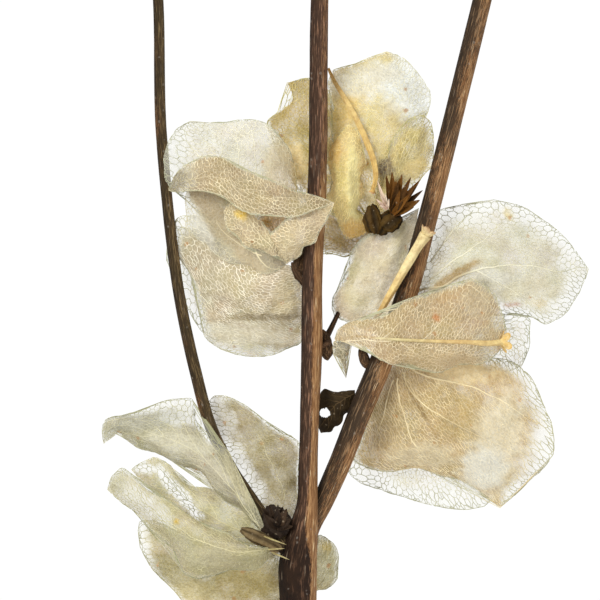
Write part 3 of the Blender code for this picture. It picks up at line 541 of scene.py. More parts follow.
class Bract:
    """A bract's middle surface: a grid of points, the same grid laid flat, and its margins."""

    def __init__(self, grid, phase, seed, look):
        self.seed = seed
        self.look = look
        self.grid = self.crumpled(self.ruffled(grid, phase))
        self.normals = grid_normals(self.grid)
        steps_across = np.linalg.norm(np.diff(self.grid, axis=1), axis=2)
        widths = steps_across.sum(axis=1)
        middle = self.grid[:, grid.shape[1] // 2]
        steps_along = np.linalg.norm(np.diff(middle, axis=0), axis=1)
        along = walked(middle)
        share = np.linspace(0, 1, grid.shape[1])[None, :]
        side = (share - 0.5) * widths[:, None]
        far = np.broadcast_to(along[:, None], side.shape)
        self.flat = np.stack([side, far], axis=2)
        self.away = np.stack(
            [share * widths[:, None], (1 - share) * widths[:, None], 0.8 * (along[-1] - far)],
            axis=2)
        opened = smooth_step(0.02, 0.5, np.linspace(0, 1, grid.shape[0]))
        opened = opened * np.minimum(1, widths / FULL_WIDTH)
        self.opened = np.broadcast_to(opened[:, None], side.shape)
        self.area = float((steps_across.mean(axis=1)[:-1] * grid.shape[1] * steps_along).sum())

    def ruffled(self, grid, phase):
        """The grid with the wavy margins and dented middle that its solid has."""
        rows, columns = grid.shape[:2]
        self.breadth = min(1, row_widths(grid).max() / FULL_WIDTH)
        along = np.linspace(0, 1, rows)[:, None]
        across = np.linspace(-1, 1, columns)[None, :]
        body = np.sin(math.pi * along)
        waves = across**2 * np.sin(2 * math.pi * RUFFLE_WAVES * along + phase + 1.3 * across)
        dents = 0.35 * (1 - across**2) * np.sin(9.0 * along + 4.0 * across + 2.1 * phase)
        lift = RUFFLE_HEIGHT * self.breadth * body * (waves + dents)
        return grid + lift[..., None] * grid_normals(grid)

    def crumpled(self, grid):
        """The grid with dry folds, dimples and a nibbled margin."""
        rows, columns = grid.shape[:2]
        body = np.sin(math.pi * np.linspace(0, 1, rows))[:, None] ** 0.6
        widths = row_widths(grid)
        bites = []
        for side in (0, -1):
            near = grid[:, side]
            bite = 0.5 + noise_at(near, 1.6 * MM, self.seed + 3) + noise_at(near, 4 * MM, self.seed)
            bite = bite * self.look["nibble"] * MARGIN_NIBBLE / np.maximum(widths, MM)
            bites.append(np.clip(bite, 0, 0.12) * body[:, 0])
        share = np.linspace(0, 1, columns)
        nibbled = np.empty_like(grid)
        for row in range(rows):
            kept = bites[0][row] + (1 - bites[0][row] - bites[1][row]) * share
            for axis in range(3):
                nibbled[row, :, axis] = np.interp(kept, share, grid[row, :, axis])
        folds = 0.5 - np.abs(noise_at(nibbled, CRUMPLE_SIZE, self.seed + 1)) * 2
        dimples = noise_at(nibbled, DIMPLE_SIZE, self.seed + 2)
        height, pitch, turn = self.look["pleats"]
        turn = math.radians(turn)
        way = nibbled[..., 0] * math.cos(turn) + nibbled[..., 1] * math.sin(turn)
        way = way + 1.6 * MM * noise_at(nibbled, 5 * MM, self.seed + 8)
        waves = np.sin(2 * math.pi * way / (pitch * MM)) * (0.6 + 0.8 * folds)
        lift = CRUMPLE_HEIGHT * self.breadth * folds + DIMPLE_HEIGHT * dimples
        lift = body * (lift + height * MM * waves)
        moved = nibbled + lift[..., None] * grid_normals(nibbled)
        moved[..., 2] = np.maximum(moved[..., 2], FILM_THICKNESS + PATCH_VEIN_RADIUS)
        return moved

    def at(self, values, along, across):
        """Values of the grid at shares along and across it, both from 0 to 1."""
        rows, columns = values.shape[:2]
        row = np.clip(np.asarray(along) * (rows - 1), 0, rows - 1.001)
        column = np.clip(np.asarray(across) * (columns - 1), 0, columns - 1.001)
        low_row, low_column = row.astype(int), column.astype(int)
        row_share, column_share = row - low_row, column - low_column
        if values.ndim == 3:
            row_share, column_share = row_share[..., None], column_share[..., None]
        low = blend(values[low_row, low_column], values[low_row, low_column + 1], column_share)
        low_row = low_row + 1
        high = blend(values[low_row, low_column], values[low_row, low_column + 1], column_share)
        return blend(low, high, row_share)

    def margin(self, along, across, points):
        """1 at the bare outer margin and 0 in the filled middle, with a wandering border."""
        away = self.at(self.away, along, across)
        wander = 1 + 0.7 * noise_at(points, 6 * MM, self.seed + 5)
        wander = wander + 0.35 * noise_at(points, 1.6 * MM, self.seed + 6)
        reach = np.maximum(wander, 0.1) * self.at(self.opened, along, across)
        reach = np.maximum(reach[:, None] * np.array(self.look["margins"]) * MM, 1e-5)
        margin = 1 - smooth_step(0.0, 1.6 * reach, away).min(axis=1)
        for number, row in enumerate(self.look["open"]):
            margin = np.maximum(
                margin, row[5] * patch_share(points, row, self.seed + 40 + number))
        return margin


def patch_share(points, patch, seed):
    """How far points lie in a soft-edged patch: place, half sizes in steps, and its turn."""
    x, y, half_x, half_y, turn = patch[:5]
    at = place(x, y, 0)
    away = (points[:, :2] - np.array([at.x, at.y])) / STEP
    angle = math.radians(turn)
    across = away @ np.array([math.cos(angle), math.sin(angle)]) / half_x
    along = away @ np.array([-math.sin(angle), math.cos(angle)]) / half_y
    wander = 0.35 * noise_at(points, 1.8 * MM, seed)
    return smooth_step(1.25, 0.6, np.hypot(across, along) + wander)


def tipped(tip, *rails):
    """A bract's rails, each led to its tip."""
    return [[*rail, tip] for rail in rails]


def bract_grid(rails):
    """A fine grid over a bract's rails."""
    lines = [smooth_line([place(*point) for point in rail], FILM_ROWS) for rail in rails]
    return np.array([smooth_line(row, FILM_COLUMNS, even=False) for row in zip(*lines)])


def tip_grid(hub, forward, turn, length):
    """A formula's bract, opening from a stem tip."""
    side = Vector((0, 0, 1)).cross(forward).normalized()
    up = forward.cross(side)
    outward = math.cos(turn) * side + math.sin(turn) * up
    edge = forward.cross(outward)
    grid = np.empty((FILM_ROWS, FILM_COLUMNS, 3))
    for row, along in enumerate(np.linspace(0, 1, FILM_ROWS).tolist()):
        lean = TIP_OPENING * (0.45 + 0.75 * along)
        width = TIP_BRACT_ASPECT * length * math.sin(math.pi * along**0.8) ** 0.75
        spine = hub + length * along * (math.cos(lean) * forward + math.sin(lean) * outward)
        inward = math.cos(lean) * outward - math.sin(lean) * forward
        for column, across in enumerate(np.linspace(-1, 1, FILM_COLUMNS).tolist()):
            cup = -TIP_CUP * across**2 * width / 2
            grid[row, column] = spine + edge * (across * width / 2) + inward * cup
    room = hub.z - SOLID_THICKNESS / 2
    below = np.maximum(hub.z - grid[..., 2], 0) * TIP_SAG / room
    if below.max() > 0:
        sunk = room * np.tanh(below) / np.tanh(below.max())
        grid[..., 2] = np.maximum(grid[..., 2], hub.z) - sunk
    return grid


def search_tree(points):
    """A tree that finds the nearest of some points."""
    tree = kdtree.KDTree(len(points))
    for number, point in enumerate(points.tolist()):
        tree.insert(point, number)
    tree.balance()
    return tree


def spaced(points, rooms, order):
    """Indices of points kept so that each has its room, taken in the given order."""
    tree = search_tree(points)
    dropped = np.zeros(len(points), bool)
    kept = []
    for index in order:
        if dropped[index]:
            continue
        kept.append(index)
        for _, near, _ in tree.find_range(points[index].tolist(), float(rooms[index])):
            dropped[near] = True
    return kept


def cells_of(bract):
    """The vein cells of a bract: their middles, and the triangles between neighbouring ones."""
    draw = np.random.RandomState(bract.seed)
    room = CELL_ROOM * bract.look["cells"]
    stretch = math.sqrt(bract.look["stretch"])

    def outline(across):
        way = np.linspace(BASE_SHARE, 1, RIM_SAMPLES)
        far = walked(bract.at(bract.grid, way, np.full(RIM_SAMPLES, float(across))))
        count = max(8, int(far[-1] / (0.8 * room)))
        return np.interp(np.linspace(0, far[-1], count), far, way)

    left, right = outline(0), outline(1)
    base = np.linspace(0, 1, 4)[1:-1]
    rim_along = np.concatenate([left, right[-2::-1], np.full(2, BASE_SHARE)])
    rim_across = np.concatenate([np.zeros(len(left)), np.ones(len(right) - 1), base[::-1]])
    count = int(TRIES_PER_CELL * bract.area / room**2)
    areas = np.linalg.norm(
        np.cross(np.diff(bract.grid, axis=0)[:, :-1], np.diff(bract.grid, axis=1)[:-1]), axis=2)
    cell = draw.choice(areas.size, count, p=areas.ravel() / areas.sum())
    along = (cell // areas.shape[1] + draw.rand(count)) / areas.shape[0]
    across = (cell % areas.shape[1] + draw.rand(count)) / areas.shape[1]
    near_edge = bract.at(bract.away, along, across).min(axis=1)
    inside = (along > BASE_SHARE + 0.01) & (near_edge > 0.45 * room)
    along = np.concatenate([rim_along, along[inside]])
    across = np.concatenate([rim_across, across[inside]])
    points = bract.at(bract.grid, along, across)
    flat = bract.at(bract.flat, along, across) * np.array([stretch, 1 / stretch])
    spread = 0.95 + 0.6 * noise_at(points, 2.2 * MM, bract.seed + 7)
    rooms = room * (spread + 0.6 * bract.margin(along, across, points))
    rooms[:len(rim_along)] = 0
    rim = list(range(len(rim_along)))
    laid = np.concatenate([flat, np.zeros((len(flat), 1))], axis=1)
    kept = spaced(laid, rooms, range(len(points)))
    along, across = along[kept], across[kept]
    _, _, faces, sources, _, _ = delaunay_2d_cdt(
        [Vector(point) for point in (flat[kept] / MM).tolist()], [], [rim], 1, 1e-5, True)
    source = [found[0] if found else -1 for found in sources]
    faces = [[source[corner] for corner in face] for face in faces]
    return along, across, np.array([face for face in faces if min(face) >= 0])


class Net:
    """A bract's vein cells, with the film between the veins and the thickness of each vein."""

    def __init__(self, bract):
        along, across, self.triangles = cells_of(bract)
        self.bract = bract
        self.count = len(along)
        self.points = bract.at(bract.grid, along, across)
        self.middles = self.points[self.triangles].mean(axis=1)
        along = np.concatenate([along, along[self.triangles].mean(axis=1)])
        across = np.concatenate([across, across[self.triangles].mean(axis=1)])
        self.corners = np.concatenate([self.points, self.middles])
        self.normals = bract.at(bract.normals, along, across)
        self.normals /= np.linalg.norm(self.normals, axis=1, keepdims=True)
        self.margin = bract.margin(along, across, self.corners)

    def film_faces(self):
        """Triangles that meet along the veins and cover the whole bract."""
        faces, waiting = [], {}
        for number, triangle in enumerate(self.triangles.tolist()):
            middle = self.count + number
            for first, last in zip(triangle, triangle[1:] + triangle[:1]):
                other = waiting.pop((last, first), None)
                if other is None:
                    waiting[(first, last)] = middle
                else:
                    faces += [(first, other, middle), (last, middle, other)]
        faces.extend((first, last, middle) for (first, last), middle in waiting.items())
        return faces

    def thickness(self):
        """The radius of the veins at each meeting point, wider along a second, coarser net."""
        draw = np.random.RandomState(self.bract.seed + 1)
        rooms = np.full(self.count, PATCH_ROOM)
        patches = spaced(self.points, rooms, draw.permutation(self.count))
        tree = search_tree(self.points[patches])
        patch = np.array([tree.find(point)[1] for point in self.points.tolist()])[self.triangles]
        between = (patch != patch[:, :1]).any(axis=1)
        radius = np.where(between, PATCH_VEIN_RADIUS, VEIN_RADIUS)
        radius = radius * (1 + 0.4 * noise_at(self.middles, 1.1 * MM, self.bract.seed + 9))
        return radius * self.bract.look["veins"] * (1 + 0.15 * self.margin[self.count:])


def paint(red, green, blue):
    """A colour from its screen values of 0 to 255, as Blender counts colours."""
    shares = (value / 255 for value in (red, green, blue))
    return np.array(
        [v / 12.92 if v <= 0.04045 else ((v + 0.055) / 1.055) ** 2.4 for v in shares])


def painted(colours):
    """Several colours from their screen values, as rows."""
    return np.array([paint(*colour) for colour in colours])


def solid(*colour):
    """A full colour for a node, from its screen values."""
    return (*paint(*colour), 1)


class Gathered:
    """Corners, faces and point values of several shapes that become one mesh."""

    def __init__(self):
        self.corners, self.faces, self.edges = [], [], []
        self.values = {}
        self.count = 0

    def add(self, corners, faces=(), edges=(), **values):
        """Takes in one more shape, with a value for each of its corners under each name."""
        self.corners.append(np.asarray(corners, float))
        self.faces.extend(tuple(corner + self.count for corner in face) for face in faces)
        self.edges.extend((first + self.count, last + self.count) for first, last in edges)
        for name, value in values.items():
            self.values.setdefault(name, []).append(np.asarray(value, float))
        self.count += len(corners)

    def mesh(self):
        """The gathered shapes as a mesh."""
        mesh = bpy.data.meshes.new("shapes")
        mesh.from_pydata(np.concatenate(self.corners).tolist(), self.edges, self.faces)
        for label, parts in self.values.items():
            store(mesh, label, np.concatenate(parts))
        return mesh


def one_shape(corners, faces=(), edges=(), **values):
    """One shape as a mesh."""
    gathered = Gathered()
    gathered.add(corners, faces, edges, **values)
    return gathered.mesh()


def store(mesh, label, values, domain="POINT"):
    """Writes one value, direction or colour for each point or face of a mesh."""
    kind, field = "FLOAT", "value"
    if label == "grain":
        kind, field = "FLOAT_VECTOR", "vector"
    elif values.ndim == 2:
        kind, field = "FLOAT_COLOR", "color"
        values = np.concatenate([values, np.ones((len(values), 1))], axis=1)
    mesh.attributes.new(label, kind, domain)
    mesh.attributes[label].data.foreach_set(field, values.astype(np.float32).ravel())


def grid_faces(grid, kept=None):
    """Faces between the points of a grid, with each row that shrinks to a point made one corner."""
    rows, columns = grid.shape[:2]
    index = np.arange(rows * columns).reshape(rows, columns)
    for row in (0, rows - 1):
        if shrunk(grid[row]):
            index[row] = index[row, 0]
    faces = []
    for row in range(rows - 1):
        for column in range(columns - 1):
            face = (*index[row, column:column + 2], *index[row + 1, column:column + 2][::-1])
            if kept is None or kept[row, column]:
                faces.append(tuple(dict.fromkeys(int(corner) for corner in face)))
    return faces


def shell(points, normals, faces, thickness):
    """A closed thin shell on both sides of a surface: corners, faces and each corner's point."""
    a, b, c = (points[corner] for corner in faces[len(faces) // 2][:3])
    if np.dot(np.cross(b - a, c - a), normals[faces[len(faces) // 2][0]]) < 0:
        faces = [tuple(reversed(face)) for face in faces]
    used = np.array(sorted({corner for face in faces for corner in face}))
    renumber = np.full(len(points), -1)
    renumber[used] = np.arange(len(used))
    faces = [tuple(int(renumber[corner]) for corner in face) for face in faces]
    count = len(used)
    lift = normals[used] * thickness / 2
    corners = np.concatenate([points[used] + lift, points[used] - lift])
    edges = {edge for face in faces for edge in zip(face, face[1:] + face[:1])}
    walls = [(b, a, a + count, b + count) for a, b in sorted(edges) if (b, a) not in edges]
    under = [tuple(corner + count for corner in reversed(face)) for face in faces]
    return corners, faces + under + walls, np.concatenate([used, used])


def grid_shell(grid, thickness, kept=None):
    """A closed thin shell on both sides of a grid."""
    normals = grid_normals(grid).reshape(-1, 3)
    return shell(grid.reshape(-1, 3), normals, grid_faces(grid, kept), thickness)


class Nodes:
    """Adds nodes to a tree, with their settings and links in one call."""

    def __init__(self, tree):
        self.tree = tree

    def add(self, kind, inputs=None, **settings):
        """A new node; each input is given a value or another node's output."""
        node = self.tree.nodes.new(kind)
        for name, value in settings.items():
            setattr(node, name, value)
        for socket, value in (inputs or {}).items():
            if isinstance(value, bpy.types.NodeSocket):
                self.tree.links.new(value, node.inputs[socket])
            else:
                node.inputs[socket].default_value = value
        return node

    def lead(self, value, socket):
        """Leads a value to a socket and gives back the tree."""
        self.tree.links.new(value, socket)
        return self.tree

    def math(self, operation, first, second=0.0):
        """One sum on numbers."""
        return self.add("ShaderNodeMath", {0: first, 1: second}, operation=operation).outputs[0]

    def ramp(self, value, low, high, start=0.0, end=1.0):
        """A value led smoothly from one range to another."""
        inputs = {"Value": value, 1: low, 2: high, 3: start, 4: end}
        return self.add("ShaderNodeMapRange", inputs, interpolation_type="SMOOTHSTEP").outputs[0]

    def mix(self, share, first, second, blend="MIX"):
        """A mix of two colours."""
        node = self.add(
            "ShaderNodeMix", {0: share, 6: first, 7: second}, data_type="RGBA", blend_type=blend)
        return node.outputs[2]

    def scaled(self, vector, factor):
        """A vector made longer or shorter."""
        inputs = {0: vector, "Scale": factor}
        return self.add("ShaderNodeVectorMath", inputs, operation="SCALE").outputs[0]

    def sized(self, given):
        """The given place counted in the given size."""
        return self.scaled(given["Position"], self.math("DIVIDE", 1.0, given["Size"]))

    def noise(self, where, scale, detail, roughness=0.5, distortion=0.0):
        """A soft noise."""
        return self.add("ShaderNodeTexNoise", {
            "Vector": where, "Scale": scale, "Detail": detail, "Roughness": roughness,
            "Distortion": distortion}).outputs

    def bent(self, where, scale, push):
        """A place pushed about by noise."""
        inputs = {0: where, 1: self.scaled(self.noise(where, scale, 2.0)["Color"], push)}
        return self.add("ShaderNodeVectorMath", inputs, operation="ADD").outputs[0]

    def skin(self, colour, roughness, shine, glow, relief=None):
        """A dull skin that lets a share of the light through."""
        bumps = {} if relief is None else {"Normal": relief}
        made = self.add("ShaderNodeBsdfPrincipled", {
            "Base Color": colour, "Roughness": roughness, "Specular IOR Level": shine,
            **bumps}).outputs[0]
        if glow > 0:
            lit = self.add("ShaderNodeBsdfTranslucent", {"Color": colour, **bumps}).outputs[0]
            made = self.add("ShaderNodeMixShader", {0: glow, 1: made, 2: lit}).outputs[0]
        return made

    def over(self, mask, most, first, second):
        """A colour laid over another where a mask says so, at most by a share."""
        return self.mix(self.math("MULTIPLY", mask, most), first, second)

    def attribute(self, name, output="Fac"):
        """A named value that the mesh carries."""
        return self.add("ShaderNodeAttribute", attribute_name=name).outputs[output]

    def curve(self, mesh):
        """Chains of edges as curves."""
        return self.add("GeometryNodeMeshToCurve", {0: mesh}).outputs[0]

    def ring(self, given):
        """A circle with the given number of sides."""
        inputs = {"Resolution": given["Tube Sides"], "Radius": 1.0}
        return self.add("GeometryNodeCurvePrimitiveCircle", inputs).outputs[0]

    def captured(self, curve, name, value):
        """A curve that remembers a value at its points, and that value."""
        node = self.add("GeometryNodeCaptureAttribute", {0: curve}, domain="POINT")
        node.capture_items.new("FLOAT", name)
        self.lead(value, node.inputs[name])
        return node.outputs[0], node.outputs[name]

    def tubes(self, curve, ring):
        """Closed tubes along curves, as thick as the curves' own thickness."""
        thickness = self.add(
            "GeometryNodeInputNamedAttribute", {"Name": "thickness"}, data_type="FLOAT")
        inputs = {0: curve, 1: ring, "Scale": thickness.outputs[0], "Fill Caps": True}
        return self.add("GeometryNodeCurveToMesh", inputs).outputs[0]

    def group(self, tree, inputs):
        """A copy of a node group with its own values."""
        return self.add("ShaderNodeGroup", inputs, node_tree=tree).outputs


def node_group(name, kind, inputs, outputs):
    """An empty node group with named inputs and outputs."""
    tree = bpy.data.node_groups.new(name, kind)
    for label, sort, value in inputs:
        socket = tree.interface.new_socket(label, in_out="INPUT", socket_type=f"NodeSocket{sort}")
        if value is not None:
            socket.default_value = value
    for label, sort in outputs:
        tree.interface.new_socket(label, in_out="OUTPUT", socket_type=f"NodeSocket{sort}")
    nodes = Nodes(tree)
    return nodes, nodes.add("NodeGroupInput").outputs, nodes.add("NodeGroupOutput").inputs


def growth_tree(name, sides, values, output):
    """An empty tree of geometry nodes for tubes, with its named values."""
    inputs = [
        ("Mesh", "Geometry", None), ("Tube Sides", "Int", sides), *values,
        ("Material", "Material", None)]
    return node_group(name, "GeometryNodeTree", inputs, ((output, "Geometry"),))


def finished(nodes, geometry, given, output):
    """Ends a tree of geometry nodes with real geometry that has its material."""
    real = nodes.add("GeometryNodeRealizeInstances", {0: geometry}).outputs[0]
    named = nodes.add("GeometryNodeSetMaterial", {"Geometry": real, "Material": given["Material"]})
    return nodes.lead(named.outputs[0], output[0])


def make_vein_tree():
    """Turns a triangle mesh into its dual net of fine tubes, with a share of the meshes open."""
    nodes, given, output = growth_tree(
        "vein net", VEIN_SIDES, (("Open Share", "Float", 0.06), ("Seed", "Int", 0)), "Veins")
    dual = nodes.add("GeometryNodeDualMesh", {0: given["Mesh"], 1: True}).outputs[0]
    dropped = nodes.add(
        "FunctionNodeRandomValue", {"Probability": given["Open Share"], "Seed": given["Seed"]},
        data_type="BOOLEAN").outputs[3]
    opened = nodes.add(
        "GeometryNodeDeleteGeometry", {0: dual, 1: dropped},
        domain="EDGE", mode="EDGE_FACE").outputs[0]
    tubes = nodes.tubes(nodes.curve(opened), nodes.ring(given))
    return finished(nodes, tubes, given, output)


def make_rib_tree():
    """Turns chains of edges into tapering tubes."""
    nodes, given, output = growth_tree("bract ribs", RIB_SIDES, (), "Ribs")
    tubes = nodes.tubes(nodes.curve(given["Mesh"]), nodes.ring(given))
    return finished(nodes, tubes, given, output)


def make_stem_tree():
    """Turns chains of edges into furrowed and ridged tubes that carry their own grain."""
    values = (
        ("Furrow Depth", "Float", 0.0001), ("Furrow Length", "Float", 0.034),
        ("Furrows Round", "Float", 2.6), ("Ridge Count", "Float", 5.0),
        ("Ridge Depth", "Float", 0.0), ("Seed", "Float", 0.0),
    )
    nodes, given, output = growth_tree("furrowed stem", 32, values, "Stem")
    spline = nodes.add("GeometryNodeSplineParameter").outputs
    line, walk = nodes.captured(nodes.curve(given["Mesh"]), "Walk", spline["Length"])
    ring, turn = nodes.captured(nodes.ring(given), "Turn", spline["Factor"])
    tube = nodes.tubes(line, ring)
    angle = nodes.math("MULTIPLY", turn, 2 * math.pi)
    height = nodes.math("DIVIDE", walk, given["Furrow Length"])
    height = nodes.math("ADD", height, given["Seed"])
    grain = nodes.add("ShaderNodeCombineXYZ", {
        0: nodes.math("COSINE", angle), 1: nodes.math("SINE", angle), 2: height}).outputs[0]
    furrows = nodes.noise(grain, given["Furrows Round"], 4.0, 0.6)[0]
    depth = nodes.math("SUBTRACT", furrows, 0.55)
    depth = nodes.math("MULTIPLY", depth, nodes.math("MULTIPLY", given["Furrow Depth"], 2.0))
    ridge = nodes.math("COSINE", nodes.math("MULTIPLY", angle, given["Ridge Count"]))
    depth = nodes.math("ADD", depth, nodes.math("MULTIPLY", ridge, given["Ridge Depth"]))
    offset = nodes.scaled(nodes.add("GeometryNodeInputNormal").outputs[0], depth)
    moved = nodes.add("GeometryNodeSetPosition", {0: tube, "Offset": offset}).outputs[0]
    kept = nodes.add(
        "GeometryNodeStoreNamedAttribute", {"Geometry": moved, "Name": "grain", "Value": grain},
        data_type="FLOAT_VECTOR", domain="POINT").outputs[0]
    return finished(nodes, kept, given, output)


def new_object(name, data):
    """A new object in the scene."""
    made = bpy.data.objects.new(name, data)
    bpy.context.scene.collection.objects.link(made)
    return made


def grown(mesh, tree, **values):
    """The plain mesh that a tree of geometry nodes makes from another mesh."""
    obj = new_object("growth", mesh)
    modifier = obj.modifiers.new("Growth", "NODES")
    modifier.node_group = tree
    for item in tree.interface.items_tree:
        label = item.name.replace(" ", "_").lower()
        if item.item_type == "SOCKET" and item.in_out == "INPUT" and label in values:
            modifier[item.identifier] = values[label]
    graph = bpy.context.evaluated_depsgraph_get()
    made = bpy.data.meshes.new_from_object(obj.evaluated_get(graph))
    obj.modifiers.clear()
    bpy.data.objects.remove(obj)
    return made


def piece(name, meshes, node, finish=None):
    """One visible piece from several meshes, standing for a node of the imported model."""
    objects = []
    for mesh in meshes:
        objects.append(new_object(name, mesh))
        if finish is not None and not mesh.materials:
            mesh.materials.append(finish)
    if len(objects) > 1:
        with bpy.context.temp_override(
                active_object=objects[0], selected_editable_objects=objects):
            bpy.ops.object.join()
    made = objects[0]
    corners = np.clip(corners_of(made.data), *CAD_BOX)
    made.data.vertices.foreach_set("co", corners.ravel())
    made.name = name
    made.data.name = name
    made.data.shade_smooth()
    made.data.set_sharp_from_angle(angle=SHARP_ANGLE)
    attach(made, "root")
    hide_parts(node)


def shader_group(name, values, outputs=(("Mask", "Float"),)):
    """An empty shader group, with the place it is given counted in the size it is given."""
    inputs = [("Position", "Vector", None)]
    inputs += [(label, "Float", value) for label, value in values.items()]
    nodes, given, output = node_group(name, "ShaderNodeTree", inputs, outputs)
    return nodes, nodes.sized(given), given, output


def make_cloud_group():
    """Soft uneven patches, as a mask."""
    nodes, where, given, output = shader_group("uneven patches", {"Size": 0.004, "Spread": 0.2})
    low = nodes.math("SUBTRACT", 0.5, given["Spread"])
    high = nodes.math("ADD", 0.5, given["Spread"])
    clouds = nodes.noise(where, 1.0, 3.0, 0.55)[0]
    return nodes.lead(nodes.ramp(clouds, low, high), output[0])


def make_speck_group():
    """Scattered small specks, as a mask."""
    nodes, where, given, output = shader_group("scattered specks", {"Size": 0.002, "Share": 0.1})
    bent = nodes.bent(where, 2.0, 0.6)
    cells = nodes.add("ShaderNodeTexVoronoi", {"Vector": bent, "Scale": 1.0}).outputs
    core = nodes.ramp(cells["Distance"], 0.16, 0.34, 1.0, 0.0)
    lot = nodes.add("ShaderNodeSeparateColor", {0: cells["Color"]}).outputs[0]
    chosen = nodes.math("LESS_THAN", lot, given["Share"])
    return nodes.lead(nodes.math("MULTIPLY", core, chosen), output[0])


def make_wrinkle_group():
    """Fine dry wrinkles, as a normal and a height."""
    nodes, where, given, output = shader_group(
        "dry wrinkles", {"Size": 0.001, "Depth": 0.0001},
        (("Normal", "Vector"), ("Height", "Float")))
    wrinkles = nodes.noise(where, 1.0, 5.0, 0.62, 0.6)[0]
    bump = nodes.add(
        "ShaderNodeBump", {"Strength": 1.0, "Distance": given["Depth"], "Height": wrinkles})
    nodes.lead(wrinkles, output["Height"])
    return nodes.lead(bump.outputs[0], output["Normal"])


def make_veinlet_group():
    """The finest net of veinlets, as a mask."""
    nodes, where, _, output = shader_group("veinlets", {"Size": 0.0005})
    bent = nodes.bent(where, 0.7, 1.6)
    edge = nodes.add(
        "ShaderNodeTexVoronoi", {"Vector": bent, "Scale": 1.0}, feature="DISTANCE_TO_EDGE")
    return nodes.lead(nodes.ramp(edge.outputs["Distance"], 0.02, 0.16, 1.0, 0.0), output[0])


